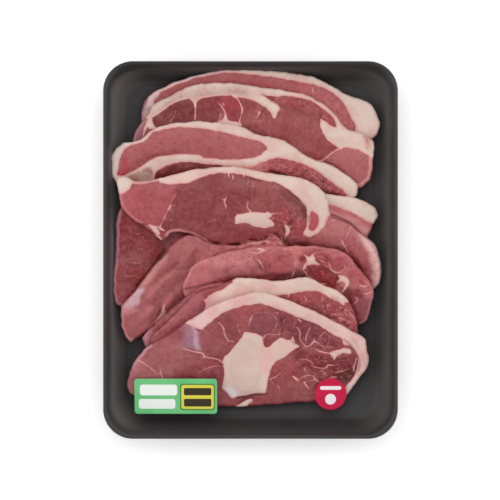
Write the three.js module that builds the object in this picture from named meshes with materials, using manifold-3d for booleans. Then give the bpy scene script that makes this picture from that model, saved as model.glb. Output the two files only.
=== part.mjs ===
import * as THREE from 'three';
import { mergeVertices } from 'three/addons/utils/BufferGeometryUtils.js';
import Module from 'manifold-3d';

const wasm = await Module();
wasm.setup();

// Tray, in millimetres: foam dish with rounded corners and a dished wall.
const TRAY_WIDTH = 238;
const TRAY_LENGTH = 305;
const TRAY_HEIGHT = 32;
const CORNER_RADIUS = 24;
const CORNER_SEGMENTS = 6;
const CORNER_TIGHTENING = 0.25;
const FLOOR_Z = 3.6;

// Inset from the outer edge and height, from the foot up the outside, over the rim and down the dished inside.
const TRAY_OUTSIDE = [
  [19, 0],
  [15.5, 0.6],
  [11.5, 4],
  [7, 13],
  [3.6, 23],
  [2.2, 28],
  [0.3, 29.2],
  [0, 30.4],
];
const TRAY_INSIDE = [
  [0.7, TRAY_HEIGHT - 0.3],
  [1.9, TRAY_HEIGHT],
  [3.1, 31.3],
  [4.4, 28.6],
  [7, 20],
  [10.6, 11],
  [14.2, 6],
  [19, FLOOR_Z],
];

// Meat: every chop is one blanket of an even height grid, cut to its outline.
const GRID_STEP = 12.5;
const GRID_HALF_X = 11;
const GRID_HALF_Y = 13;
const GAP = 0.3;
const DRAPE_SLOPE = 0.4;
const WALL_SUPPORT = 16;
const EDGE_THINNING = 0.28;
const EDGE_WIDTH = 13;
const SWELL_HEIGHT = 0.5;
const SWELL_X = 19;
const SWELL_Y = 15;
const OUTLINE_STEP = 8;
const PRISM_BOTTOM = -5;
const PRISM_TOP = 90;
const SAMPLES_PER_CELL = 4;

// Stickers, flat on the front chop and tilted with it: rise per millimetre to the right and to the back.
const LABEL_THICKNESS = 0.5;
const PANEL = { x: -60.5, y: -118.5, width: 67, length: 29, radius: 2.6, riseX: 0.02, riseY: 0.3 };
const ROUND = { x: 65, y: -117, halfWidth: 13, halfLength: 13, segments: 32, riseX: -0.05, riseY: 0.3 };
const PANEL_CORNER_SEGMENTS = 4;

// The chops from the back of the tray to the front: each one lies over the front of the one before.
const CHOPS = [
  {
    name: 'chop_01',
    thickness: 9,
    outline: [
      [-88, 104], [-89, 112], [-86, 121], [-79, 128], [-70, 132], [-58, 137], [-45, 141.5], [-30, 144.5],
      [-10, 146.5], [10, 145.8], [30, 143.5], [50, 140.5], [60, 136], [70, 131], [80, 124.8], [90, 122.5],
      [98, 118.5], [102.5, 110], [105, 103], [104, 97], [99, 91], [86, 84], [60, 82], [30, 84], [0, 87],
      [-30, 88], [-60, 90], [-80, 96],
    ],
    fats: {
      fat: [
        [-20, 142.6], [0, 142.2], [20, 139.8], [40, 136.4], [50, 134.8], [58, 132], [65, 128.5], [72, 123.5],
        [76, 118], [80, 110], [84, 104.5], [85.5, 97], [84, 89], [85, 78], [104, 80], [114, 96], [112, 116],
        [98, 130], [70, 142], [40, 152], [0, 156], [-20, 154],
      ],
    },
  },
  {
    name: 'chop_02',
    thickness: 8.5,
    outline: [
      [-80, 117], [-70, 122], [-60, 127], [-50, 132], [-40, 134], [-20, 135], [0, 132.5], [20, 130],
      [40, 126.5], [50, 123.5], [60, 117], [66, 112.5], [70, 108], [74, 102], [78, 97.5], [84, 96.5],
      [92, 92.5], [98, 91.5], [100.5, 85], [98.5, 77], [98.3, 68], [97, 60], [93, 54], [84, 50], [60, 56],
      [30, 61], [0, 63], [-30, 64], [-60, 66], [-82, 71], [-94, 80], [-95, 91], [-90, 101], [-84, 108],
    ],
    fats: {
      fat: [
        [-88, 106], [-78, 108], [-70, 113.5], [-60, 119.5], [-50, 122.5], [-40, 122.5], [-30, 124], [-20, 125],
        [-10, 123], [0, 122], [8, 119], [15, 112.5], [19, 107], [23, 110], [22, 117], [18, 122], [22, 124.6],
        [38, 123.6], [48, 121], [55, 117], [62, 111.5], [65.5, 106], [67.5, 100.5], [64, 101.5], [58, 106.5],
        [56.5, 103], [58, 98], [62, 91], [66, 86], [72, 82.5], [78, 83.5], [84, 82.3], [90, 79.8], [95, 76.3],
        [98, 73], [108, 74], [110, 92], [98, 102], [82, 108], [70, 124], [50, 138], [0, 146], [-50, 144],
        [-90, 126],
      ],
    },
  },
  {
    name: 'chop_03',
    thickness: 8.5,
    outline: [
      [-113.8, 66], [-113, 73], [-110, 80], [-106, 84], [-101, 87], [-91, 87], [-86, 91], [-80, 96.5],
      [-70, 100.5], [-58, 102.7], [-50, 102.7], [-45, 104], [-30, 102.5], [-12, 101], [-4, 98], [5, 93],
      [12, 91.2], [25, 89.5], [32, 85], [38, 80.5], [50, 73], [65, 68.5], [72, 64], [80, 58.5], [87, 53],
      [88, 49.5], [85, 44], [78, 38], [60, 34], [30, 31], [0, 30], [-40, 32], [-80, 38], [-100, 47],
      [-111, 58],
    ],
    pockets: {
      lean_upper: [
        [-101, 82], [-92, 82.5], [-88, 85], [-83, 90], [-78, 94], [-70, 97], [-60, 98.6], [-50, 98.4],
        [-35, 97], [-25, 95.5], [-15, 93], [-5, 90], [7, 87.7], [12.6, 84], [12, 80], [2, 75.5], [-10, 74],
        [-25, 74.3], [-38, 77], [-58, 78], [-78, 75.5], [-83, 72], [-90, 68], [-97, 64], [-104, 62],
        [-104.5, 73],
      ],
    },
    fats: {
      fat: [
        [-96, 42], [-84, 45], [-79, 54], [-78, 61], [-73, 66.5], [-60, 70.8], [-50, 71.3], [-40, 70], [-28, 68.5],
        [-15, 67], [0, 66.8], [10, 71], [20, 74], [30, 73], [43, 69.5], [55, 63.5], [63, 57], [72, 50.5],
        [78, 46], [80, 38], [84, 30], [96, 40], [98, 58], [70, 82], [40, 96], [0, 112], [-50, 116],
        [-100, 100], [-124, 80], [-122, 55],
      ],
    },
  },
  {
    name: 'chop_04',
    thickness: 8,
    outline: [
      [-104, 36], [-107.5, 29], [-109, 20], [-108.5, 8], [-109.5, -4], [-110.8, -16], [-110.5, -38],
      [-109.5, -43], [-104, -47], [-92, -44], [-74, -28], [-52, -8], [-20, 4], [20, 8], [60, 6],
      [84, 0], [93, 5], [95, 12], [99, 20], [103, 25], [103.5, 30], [101, 34.5], [95, 38], [86, 41.3],
      [70, 44], [50, 46], [10, 47], [-30, 46], [-70, 43], [-96, 40],
    ],
    fats: {
      fat: [
        [50, 39], [63, 37.5], [72, 34], [77, 33], [83, 29], [90, 26.3], [95, 22.2], [99, 21], [109, 20],
        [113, 36], [90, 54], [50, 58], [47, 48],
      ],
    },
  },
  {
    name: 'chop_05',
    thickness: 9,
    outline: [
      [-108, 57.5], [-101, 59.3], [-96, 55.3], [-88, 55], [-80, 56], [-70, 58], [-60, 61], [-50, 63.5],
      [-40, 65], [-25, 66.5], [-10, 66.5], [0, 64.5], [20, 60.5], [40, 57.5], [48, 55], [54, 51.3],
      [59, 46.5], [62.5, 40], [62.3, 32], [64.5, 25.5], [72, 24], [80, 21], [86, 16], [91, 11.5], [97, 8.5],
      [101, 3], [104, -5], [106, -17], [104.5, -26], [100, -32], [88, -28], [66, -16], [35, -12], [5, -11],
      [-18, -6], [-30, 1], [-38, 8], [-46, 12.5], [-55, 15], [-65, 14.8], [-69.5, 11], [-69, 6], [-77, 12],
      [-84, 19], [-92, 23.5], [-99, 29], [-103.5, 35.5], [-105.3, 44], [-106.5, 50],
    ],
    fats: {
      fat: [
        [-74, 54.2], [-62, 53.3], [-54, 53.3], [-48, 55], [-40, 58.5], [-33, 61.3], [-18, 62], [-8, 61],
        [0, 59], [8, 56.5], [18, 55.3], [25, 52.3], [32, 47.3], [38, 42.3], [43, 36.7], [45.5, 31], [46, 25],
        [44.5, 17], [41.5, 11.5], [47, 9.6], [52.5, 12], [57.5, 16], [60.5, 20], [63, 27], [74, 36],
        [68, 54], [40, 72], [-10, 80], [-60, 74], [-76, 66],
      ],
      fat_left: [
        [-116, 62], [-108, 44], [-100, 46.8], [-95, 51], [-94, 66],
      ],
      fat_low: [
        [-85, 22], [-74, 21.5], [-70.8, 18], [-71.5, 12], [-66, 3], [-76, 0], [-92, 12],
      ],
    },
    bones: {
      bone: [
        [-12.3, 20.5], [-13, 26], [-10, 29], [-1, 30.4], [12, 30.2], [18, 28.3], [15.8, 25], [18, 20.5],
        [12, 18], [6, 17.6], [-3, 21.4], [-8, 22],
      ],
    },
  },
  {
    name: 'chop_06',
    thickness: 7.5,
    outline: [
      [-98, -75], [-101.5, -69], [-104, -60], [-104.5, -46], [-103, -41.5], [-95, -37.5], [-92.5, -32],
      [-88, -26.5], [-82, -18], [-75, -10], [-69, -4], [-65, 2], [-60, 7], [-54, 10.5], [-48, 12],
      [-42, 10.2], [-33, 5.2], [-15, 3], [0, 5.2], [11, 8], [20, 8], [27, 4], [31, -6], [24, -20],
      [6, -32], [-20, -46], [-52, -64], [-80, -77],
    ],
  },
  {
    name: 'chop_07',
    thickness: 9,
    outline: [
      [-55, -30], [-51, -21], [-47, -14.5], [-42, -9.5], [-25, -4], [-10, 0], [10, 2], [38, 2.2], [55, 2],
      [68, 0.3], [76, -2.5], [83, -9.5], [91, -19.5], [99, -30], [98.3, -38], [96.5, -47], [94, -57],
      [88, -61], [68, -55], [40, -54], [0, -54], [-30, -50], [-50, -42],
    ],
  },
  {
    name: 'chop_08',
    thickness: 5,
    outline: [
      [-85, -79], [-88, -75], [-87, -69], [-80, -63], [-73, -56], [-65, -50], [-59, -44.5], [-52, -38],
      [-45, -32.5], [-35, -28.5], [-20, -26.5], [5, -28], [35, -31], [55, -38], [64, -56], [56, -78],
      [30, -92], [-10, -97], [-50, -97], [-74, -90],
    ],
  },
  {
    name: 'chop_09',
    thickness: 7.5,
    outline: [
      [-82, -79], [-82.5, -74], [-78, -68.5], [-70, -62], [-61, -52], [-52, -43], [-45, -36.5], [-36, -32.5],
      [-26, -30], [-18, -26.5], [-9, -22.3], [5, -24], [20, -25.7], [32, -24.7], [42, -22], [53, -25.5],
      [64, -31], [71, -33.2], [76, -38.5], [82, -46], [85.5, -55], [87, -68], [87, -82], [80, -98],
      [60, -107], [20, -110], [-20, -111], [-56, -108], [-77, -98], [-84, -88],
    ],
    fats: {
      fat: [
        [-41, -50], [-36, -48], [-18, -42], [0, -38], [20, -37.3], [28, -36], [42, -34.2], [50, -33],
        [55, -33.5], [60, -36.5], [67, -40.5], [78, -43], [86, -38], [76, -24], [42, -12], [0, -12],
        [-24, -18], [-42, -34], [-44, -44],
      ],
    },
  },
  {
    name: 'chop_10',
    thickness: 9.5,
    outline: [
      [-52, -59], [-49, -56], [-42, -53.7], [-37, -48.3], [-28, -44], [-20, -41], [-10, -38], [0, -35.5],
      [8, -34], [20, -37.5], [30, -40.7], [40, -45], [50, -49.5], [60, -54.5], [70, -59.5], [80, -65],
      [88, -69], [92.5, -72], [93, -79], [96, -88], [94, -95.5], [88, -104], [80, -115], [76, -120.5],
      [69, -122], [40, -123.5], [10, -126], [-12, -127.2], [-40, -126.8], [-66, -125], [-82, -121.5],
      [-95, -118], [-100, -111], [-98, -102], [-94, -91], [-88, -84], [-79, -76], [-70, -71], [-60, -64.5],
    ],
    fats: {
      fat: [
        [-43, -63.4], [-38, -63], [-33, -58.5], [-25, -52.5], [-18, -49], [-10, -46], [0, -44], [8, -43.5],
        [15, -45], [25, -48.7], [35, -52.5], [45, -57], [55, -61], [62, -66], [70, -70], [76, -73], [80, -76],
        [85, -82], [88, -90], [86, -99], [80, -108.5], [74, -115], [76, -126], [92, -118], [108, -96],
        [106, -74], [92, -56], [50, -36], [8, -22], [-30, -32], [-46, -46],
      ],
    },
    bones: {
      bone: [
        [-23.5, -88.5], [-17, -84], [-12, -78], [-8, -71], [-4, -67], [4, -67], [9.5, -70.5], [12, -78.5],
        [17, -77.5], [24, -70.8], [34, -71.5], [38, -77.5], [28, -86], [19, -92], [15.5, -101], [14, -113],
        [5, -116.5], [-5, -118.5], [-13, -120.5], [-20, -117.5], [-26, -110], [-23, -104], [-22, -95],
      ],
    },
    marrow: { x: -4, y: -94, halfWidth: 11.5, halfLength: 21.5, segments: 28 },
  },
];

const COLORS = {
  tray: 0x2c2829,
  lean: 0x95494f,
  fat: 0xd9b7ac,
  bone: 0xd8b9ac,
  marrow: 0xd2aea1,
  label_panel: 0x63bf7c,
  label_round: 0xc01d49,
};
const ROUGHNESS = { tray: 0.55, meat: 0.42, label: 0.35 };

function toManifold(geometry) {
  geometry.deleteAttribute('normal');
  geometry.deleteAttribute('uv');
  const merged = mergeVertices(geometry, 1e-4);
  return new wasm.Manifold(new wasm.Mesh({
    numProp: 3,
    vertProperties: new Float32Array(merged.attributes.position.array),
    triVerts: new Uint32Array(merged.index.array),
  }));
}

function toMesh(name, solid, color, roughness) {
  const data = solid.getMesh();
  const geometry = new THREE.BufferGeometry();
  geometry.setAttribute('position', new THREE.BufferAttribute(data.vertProperties, 3));
  geometry.setIndex(new THREE.BufferAttribute(data.triVerts, 1));
  const material = new THREE.MeshStandardMaterial({ color, roughness, metalness: 0 });
  const mesh = new THREE.Mesh(geometry, material);
  mesh.name = name;
  return mesh;
}

function indexed(points, triangles) {
  const geometry = new THREE.BufferGeometry();
  geometry.setAttribute('position', new THREE.Float32BufferAttribute(points, 3));
  geometry.setIndex(triangles);
  return geometry;
}

// One level of the tray: a rounded rectangle, inset from the outer edge.
function trayRing([inset, z]) {
  const halfX = TRAY_WIDTH / 2 - inset;
  const halfY = TRAY_LENGTH / 2 - inset;
  const radius = CORNER_RADIUS - CORNER_TIGHTENING * Math.max(inset, 0);
  const ring = [];
  for (let corner = 0; corner < 4; corner += 1) {
    const signX = corner === 0 || corner === 3 ? 1 : -1;
    const signY = corner < 2 ? 1 : -1;
    for (let step = 0; step <= CORNER_SEGMENTS; step += 1) {
      const angle = (corner + step / CORNER_SEGMENTS) * Math.PI / 2;
      ring.push([
        signX * (halfX - radius) + radius * Math.cos(angle),
        signY * (halfY - radius) + radius * Math.sin(angle),
        z,
      ]);
    }
  }
  return ring;
}

// Closed skin over a run of rings, the first facing down and the last facing up.
function loft(levels) {
  const rings = levels.map(trayRing);
  const count = rings[0].length;
  const triangles = [];
  for (let level = 0; level + 1 < rings.length; level += 1) {
    for (let i = 0; i < count; i += 1) {
      const next = (i + 1) % count;
      const low = level * count;
      const high = low + count;
      triangles.push(low + i, low + next, high + next, low + i, high + next, high + i);
    }
  }
  const last = (rings.length - 1) * count;
  for (let i = 1; i + 1 < count; i += 1) {
    triangles.push(0, i + 1, i);
    triangles.push(last, last + i, last + i + 1);
  }
  return toManifold(indexed(rings.flat(2), triangles));
}

function makeTray() {
  return loft([...TRAY_OUTSIDE, ...TRAY_INSIDE]);
}

// The space the meat may fill: clear of the dished inside, and open above the rim.
function makeRoom() {
  const inside = [...TRAY_INSIDE].reverse().map(([inset, z]) => [inset + GAP, z + GAP]);
  return loft([...inside, [-GAP, TRAY_HEIGHT + GAP], [-GRID_STEP, TRAY_HEIGHT + GAP], [-GRID_STEP, PRISM_TOP]]);
}

// Height of the tray's inside at one place, read from its profile. Meat is pressed against the upper wall.
function trayHeight(x, y) {
  const flatX = TRAY_WIDTH / 2 - CORNER_RADIUS;
  const flatY = TRAY_LENGTH / 2 - CORNER_RADIUS;
  const outX = Math.abs(x) - flatX;
  const outY = Math.abs(y) - flatY;
  const away = outX > 0 && outY > 0 ? Math.hypot(outX, outY) : Math.max(outX, outY);
  const inset = CORNER_RADIUS - away;
  for (let i = 1; i < TRAY_INSIDE.length; i += 1) {
    const [outer, high] = TRAY_INSIDE[i - 1];
    const [inner, low] = TRAY_INSIDE[i];
    if (inset < inner) {
      const along = Math.max((inset - outer) / (inner - outer), 0);
      return Math.min(high + (low - high) * along, WALL_SUPPORT);
    }
  }
  return FLOOR_Z;
}

// Evenly spaced points on a smooth closed line through the given ones.
function smoothLoop(points) {
  const knots = points.map(([x, y]) => new THREE.Vector3(x, y, 0));
  const curve = new THREE.CatmullRomCurve3(knots, true, 'centripetal');
  const count = Math.round(curve.getLength() / OUTLINE_STEP);
  return curve.getSpacedPoints(count).slice(0, -1).map((p) => new THREE.Vector2(p.x, p.y));
}

function widened(loop, distance) {
  const sign = THREE.ShapeUtils.isClockWise(loop) ? -1 : 1;
  return loop.map((point, i) => {
    const before = loop[(i + loop.length - 1) % loop.length];
    const after = loop[(i + 1) % loop.length];
    const along = after.clone().sub(before).normalize();
    return new THREE.Vector2(point.x + sign * distance * along.y, point.y - sign * distance * along.x);
  });
}

function prism(loop, bottom = PRISM_BOTTOM, top = PRISM_TOP) {
  const shape = new THREE.Shape(loop);
  const geometry = new THREE.ExtrudeGeometry(shape, { depth: top - bottom, bevelEnabled: false });
  geometry.translate(0, 0, bottom);
  return toManifold(geometry);
}

function contains(loop, x, y) {
  let inside = false;
  for (let i = 0, j = loop.length - 1; i < loop.length; j = i, i += 1) {
    const a = loop[i];
    const b = loop[j];
    if ((a.y > y) !== (b.y > y) && x < (b.x - a.x) * (y - a.y) / (b.y - a.y) + a.x) {
      inside = !inside;
    }
  }
  return inside;
}

function depthInside(loop, x, y) {
  let nearest = Infinity;
  for (let i = 0, j = loop.length - 1; i < loop.length; j = i, i += 1) {
    const a = loop[j];
    const edge = loop[i].clone().sub(a);
    const t = THREE.MathUtils.clamp(((x - a.x) * edge.x + (y - a.y) * edge.y) / edge.lengthSq(), 0, 1);
    nearest = Math.min(nearest, Math.hypot(x - a.x - t * edge.x, y - a.y - t * edge.y));
  }
  return contains(loop, x, y) ? nearest : -nearest;
}

// True where any of the four cells round a grid point holds part of the loop.
function touches(loop, x, y) {
  for (let i = -SAMPLES_PER_CELL; i <= SAMPLES_PER_CELL; i += 1) {
    for (let j = -SAMPLES_PER_CELL; j <= SAMPLES_PER_CELL; j += 1) {
      const dx = i * GRID_STEP / SAMPLES_PER_CELL;
      const dy = j * GRID_STEP / SAMPLES_PER_CELL;
      if (contains(loop, x + dx, y + dy)) {
        return true;
      }
    }
  }
  return false;
}

function gridPoints() {
  const points = [];
  for (let row = -GRID_HALF_Y; row <= GRID_HALF_Y; row += 1) {
    for (let column = -GRID_HALF_X; column <= GRID_HALF_X; column += 1) {
      const x = column * GRID_STEP;
      const y = row * GRID_STEP;
      points.push({ x, y, support: trayHeight(x, y) });
    }
  }
  return points;
}

// A blanket laid over what is already in the tray: it rests on the highest parts and falls away beside them.
function layBlanket(points, loop, thickness, phase) {
  const near = points.filter((p) => depthInside(loop, p.x, p.y) > -2 * GRID_STEP);
  for (const p of near) {
    p.bottom = GAP + Math.max(...near.map((q) => q.support - DRAPE_SLOPE * Math.hypot(p.x - q.x, p.y - q.y)));
    const inside = THREE.MathUtils.smoothstep(depthInside(loop, p.x, p.y), -GRID_STEP / 2, EDGE_WIDTH);
    const swell = SWELL_HEIGHT * Math.sin(p.x / SWELL_X + phase) * Math.cos(p.y / SWELL_Y + 2 * phase);
    p.top = p.bottom + thickness * (1 - EDGE_THINNING * (1 - inside)) + swell;
  }
  const solid = blanketSolid(points, new Set(near));
  for (const p of near) {
    if (touches(loop, p.x, p.y)) {
      p.support = Math.max(p.support, p.top);
    }
  }
  return solid;
}

// Top and bottom of all cells whose four corners are laid, closed round their border.
function blanketSolid(points, laid) {
  const columns = 2 * GRID_HALF_X + 1;
  const rows = 2 * GRID_HALF_Y + 1;
  const vertices = points.flatMap((p) => [p.x, p.y, p.bottom ?? 0, p.x, p.y, p.top ?? 0]);
  const used = (row, column) => {
    if (row < 0 || column < 0 || row + 1 >= rows || column + 1 >= columns) {
      return false;
    }
    const first = row * columns + column;
    return [first, first + 1, first + columns, first + columns + 1].every((i) => laid.has(points[i]));
  };
  const triangles = [];
  const wall = (a, b) => triangles.push(2 * a, 2 * b, 2 * b + 1, 2 * a, 2 * b + 1, 2 * a + 1);
  for (let row = 0; row + 1 < rows; row += 1) {
    for (let column = 0; column + 1 < columns; column += 1) {
      if (!used(row, column)) {
        continue;
      }
      const a = row * columns + column;
      const b = a + 1;
      const c = a + columns + 1;
      const d = a + columns;
      triangles.push(2 * a + 1, 2 * b + 1, 2 * c + 1, 2 * a + 1, 2 * c + 1, 2 * d + 1);
      triangles.push(2 * a, 2 * c, 2 * b, 2 * a, 2 * d, 2 * c);
      if (!used(row - 1, column)) {
        wall(a, b);
      }
      if (!used(row, column + 1)) {
        wall(b, c);
      }
      if (!used(row + 1, column)) {
        wall(c, d);
      }
      if (!used(row, column - 1)) {
        wall(d, a);
      }
    }
  }
  return toManifold(indexed(vertices, triangles));
}

function ovalLoop({ x, y, halfWidth, halfLength, segments }) {
  return new THREE.Shape().absellipse(x, y, halfWidth, halfLength, 0, 2 * Math.PI, false, 0)
    .getSpacedPoints(segments).slice(0, -1);
}

// One chop: lean meat, its fat and its bone, all cut from the same blanket with a hair's gap between them.
function makeChop(chop, index, points, room) {
  const loop = smoothLoop(chop.outline);
  const whole = layBlanket(points, loop, chop.thickness, index).intersect(prism(loop)).intersect(room);
  const parts = [];
  let lean = whole;
  const pockets = Object.entries(chop.pockets ?? {}).map(([key, line]) => [key, smoothLoop(line)]);
  for (const [key, line] of pockets) {
    parts.push([`${chop.name}_${key}`, whole.intersect(prism(line)), COLORS.lean]);
  }
  for (const [key, line] of Object.entries(chop.fats ?? {})) {
    const edge = smoothLoop(line);
    let fat = whole.intersect(prism(edge));
    for (const [, pocket] of pockets) {
      fat = fat.subtract(prism(widened(pocket, GAP)));
    }
    lean = lean.subtract(prism(widened(edge, GAP)));
    parts.push([`${chop.name}_${key}`, fat, COLORS.fat]);
  }
  for (const [key, line] of Object.entries(chop.bones ?? {})) {
    const edge = smoothLoop(line);
    let bone = whole.intersect(prism(edge));
    lean = lean.subtract(prism(widened(edge, GAP)));
    if (chop.marrow) {
      const core = ovalLoop(chop.marrow);
      parts.push([`${chop.name}_marrow`, whole.intersect(prism(core)), COLORS.marrow]);
      bone = bone.subtract(prism(widened(core, GAP)));
    }
    parts.push([`${chop.name}_${key}`, bone, COLORS.bone]);
  }
  parts.unshift([`${chop.name}_lean`, lean, COLORS.lean]);
  return parts.map(([name, solid, color]) => toMesh(name, solid, color, ROUGHNESS.meat));
}

function panelLoop({ x, y, width, length, radius }) {
  const shape = new THREE.Shape();
  const left = x - width / 2;
  const right = x + width / 2;
  const front = y - length / 2;
  const back = y + length / 2;
  shape.absarc(right - radius, back - radius, radius, 0, Math.PI / 2, false);
  shape.absarc(left + radius, back - radius, radius, Math.PI / 2, Math.PI, false);
  shape.absarc(left + radius, front + radius, radius, Math.PI, 1.5 * Math.PI, false);
  shape.absarc(right - radius, front + radius, radius, 1.5 * Math.PI, 2 * Math.PI, false);
  return shape.getPoints(PANEL_CORNER_SEGMENTS);
}

// A flat sticker, as low as it lies clear of all that is under it.
function makeSticker(name, loop, place, points) {
  const rise = (x, y) => place.riseX * (x - place.x) + place.riseY * (y - place.y);
  const under = points.filter((p) => touches(loop, p.x, p.y));
  const lowest = GAP + Math.max(...under.map((p) => p.support - rise(p.x, p.y)));
  const tilt = new THREE.Matrix4().set(
    1, 0, 0, 0,
    0, 1, 0, 0,
    place.riseX, place.riseY, 1, lowest - place.riseX * place.x - place.riseY * place.y,
    0, 0, 0, 1,
  );
  const shape = new THREE.Shape(loop);
  const geometry = new THREE.ExtrudeGeometry(shape, { depth: LABEL_THICKNESS, bevelEnabled: false });
  geometry.applyMatrix4(tilt);
  return toMesh(name, toManifold(geometry), COLORS[name], ROUGHNESS.label);
}

const group = new THREE.Group();
group.name = 'meat_tray_pack';
group.add(toMesh('tray', makeTray(), COLORS.tray, ROUGHNESS.tray));
const room = makeRoom();
const points = gridPoints();
CHOPS.forEach((chop, index) => group.add(...makeChop(chop, index, points, room)));
group.add(makeSticker('label_panel', panelLoop(PANEL), PANEL, points));
group.add(makeSticker('label_round', ovalLoop(ROUND), ROUND, points));

export default group;
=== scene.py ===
import math

import bpy
import numpy as np
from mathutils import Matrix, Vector


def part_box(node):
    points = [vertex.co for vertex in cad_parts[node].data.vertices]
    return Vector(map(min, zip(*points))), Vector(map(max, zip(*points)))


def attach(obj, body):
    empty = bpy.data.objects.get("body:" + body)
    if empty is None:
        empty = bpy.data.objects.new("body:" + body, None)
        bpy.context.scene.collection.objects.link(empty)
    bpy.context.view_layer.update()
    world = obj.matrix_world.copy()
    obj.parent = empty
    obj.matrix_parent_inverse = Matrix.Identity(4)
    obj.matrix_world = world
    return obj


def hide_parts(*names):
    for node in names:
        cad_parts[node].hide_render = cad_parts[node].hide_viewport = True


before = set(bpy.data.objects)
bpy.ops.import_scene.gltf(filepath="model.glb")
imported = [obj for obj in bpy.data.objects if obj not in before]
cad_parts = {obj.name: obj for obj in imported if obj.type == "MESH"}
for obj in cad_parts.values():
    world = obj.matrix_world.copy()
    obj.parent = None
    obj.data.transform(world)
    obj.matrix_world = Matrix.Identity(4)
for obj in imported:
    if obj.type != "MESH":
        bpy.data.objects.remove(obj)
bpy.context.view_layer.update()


# The tray
# A pressed tray of near-black expanded polystyrene foam: a flat foot, a dished wall and a thin rolled rim.
# It is formed in one piece from hot sheet, so its skin is satin, faintly pebbled, and a little uneven.

class Link:
    """One socket of a node tree. Arithmetic on it adds the Math nodes, and node() adds any other kind."""

    def __init__(self, tree, socket=None):
        self.tree = tree
        self.socket = socket

    def node(self, kind, settings=None, sockets=None, out=0):
        made = self.tree.nodes.new(kind)
        for key, value in (settings or {}).items():
            setattr(made, key, value)
        for key, value in (sockets or {}).items():
            self.feed(made.inputs[key], value)
        return Link(self.tree, made.outputs[out])

    def feed(self, socket, value):
        if isinstance(value, Link):
            self.tree.links.new(value.socket, socket)
        else:
            socket.default_value = value

    def maths(self, operation, *values):
        return self.node("ShaderNodeMath", {"operation": operation}, dict(enumerate(values)))

    def __add__(self, other):
        return self.maths("ADD", self, other)

    def __sub__(self, other):
        return self.maths("SUBTRACT", self, other)

    def __mul__(self, other):
        return self.maths("MULTIPLY", self, other)

    def __rsub__(self, other):
        return self.maths("SUBTRACT", other, self)

    def __neg__(self):
        return self.maths("MULTIPLY", self, -1.0)

    def __abs__(self):
        return self.maths("ABSOLUTE", self)

    __radd__ = __add__
    __rmul__ = __mul__

    def clamp(self):
        return self.node("ShaderNodeClamp", None, {0: self})

    def least(self, other):
        return self.maths("MINIMUM", self, other)

    def most(self, other):
        return self.maths("MAXIMUM", self, other)

    def step(self, low, high):
        """0 below low, 1 above high, and a smooth rise between."""
        smooth = {"interpolation_type": "SMOOTHSTEP"}
        return self.node("ShaderNodeMapRange", smooth, {0: self, 1: low, 2: high})

    def mix(self, first, second):
        """Colour first where this link is 0, and second where it is 1."""
        settings = {"data_type": "RGBA", "clamp_factor": True}
        return self.node("ShaderNodeMix", settings, {0: self, 6: first, 7: second}, out=2)

    def noise(self, place, scale, detail=2.0, rough=0.5):
        given = {"Vector": place, "Scale": scale, "Detail": detail, "Roughness": rough}
        return self.node("ShaderNodeTexNoise", None, given)

    def field(self, name, out="Fac"):
        """What the mesh keeps under that name at each point: a number, a vector or a colour."""
        return self.node("ShaderNodeAttribute", {"attribute_name": name}, out=out)

    def parts(self):
        """The three numbers of a vector."""
        made = self.node("ShaderNodeSeparateXYZ", None, {0: self}).socket.node
        return [Link(self.tree, socket) for socket in made.outputs]

    def bump(self, strength, distance, height):
        given = {"Strength": strength, "Distance": distance, "Height": height}
        return self.node("ShaderNodeBump", None, given)


def colour(red, green, blue):
    """A colour named by its screen values, as the linear one that a shader takes."""
    shares = (red / 255, green / 255, blue / 255)
    linear = [c / 12.92 if c <= 0.04045 else ((c + 0.055) / 1.055) ** 2.4 for c in shares]
    return (*linear, 1.0)


def new_material(name):
    material = bpy.data.materials.new(name)
    material.use_nodes = True
    tree = material.node_tree
    shader = next(n for n in tree.nodes if n.type == "BSDF_PRINCIPLED")
    return material, Link(tree), shader


def tray_foam():
    """Satin black foam skin with fine cells. Its field is over 0 where a painted reflection pales the inner walls, and
    under 0 where painted shade darkens the back rim.
    """
    material, link, shader = new_material("tray_foam")
    place = link.node("ShaderNodeTexCoord", out="Object")
    broad = link.noise(place, 22.0, 2.0)
    cells = link.node("ShaderNodeTexVoronoi", {"feature": "F1"}, {"Vector": place, "Scale": 1100.0})
    grain = link.noise(place, 900.0, 3.0, 0.6)
    drawn = link.field("drawn")
    skin = (broad * 0.6 + grain * 0.4).step(0.3, 0.7).mix(colour(46, 42, 43), colour(56, 52, 53))
    # Painted shade darkens the back rim, and a painted reflection pales the inner walls.
    skin = (-drawn).clamp().mix(skin, colour(26, 23, 23))
    thin = (drawn * (0.8 + broad * 0.4)).clamp()
    link.feed(shader.inputs["Base Color"], thin.mix(skin, colour(106, 101, 100)))
    link.feed(shader.inputs["Roughness"], 0.44 + grain * 0.16)
    link.feed(shader.inputs["Normal"], link.bump(0.35, 0.0004, cells * 0.5 + grain * 0.5))
    shader.inputs["Specular IOR Level"].default_value = 0.4
    shader.inputs["Sheen Weight"].default_value = 0.12
    shader.inputs["Sheen Roughness"].default_value = 0.4
    return material


def add_mesh(name, points, faces, material, smooth=True):
    mesh = bpy.data.meshes.new(name)
    mesh.from_pydata([tuple(p) for p in points], [], [tuple(f) for f in faces])
    mesh.materials.append(material)
    mesh.polygons.foreach_set("use_smooth", [smooth] * len(mesh.polygons))
    mesh.update()
    return add_object(name, mesh)


def add_object(name, data):
    made = bpy.data.objects.new(name, data)
    bpy.context.scene.collection.objects.link(made)
    return made


def add_field(mesh, name, values):
    """Keeps a number, a vector or a colour at each point of the mesh, for its material to read."""
    flat = np.asarray(values, np.float32).reshape(len(mesh.vertices), -1)
    kinds = {1: ("FLOAT", "value"), 3: ("FLOAT_VECTOR", "vector"), 4: ("FLOAT_COLOR", "color")}
    kind, key = kinds[flat.shape[1]]
    mesh.attributes.new(name, kind, "POINT").data.foreach_set(key, flat.ravel())


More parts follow.
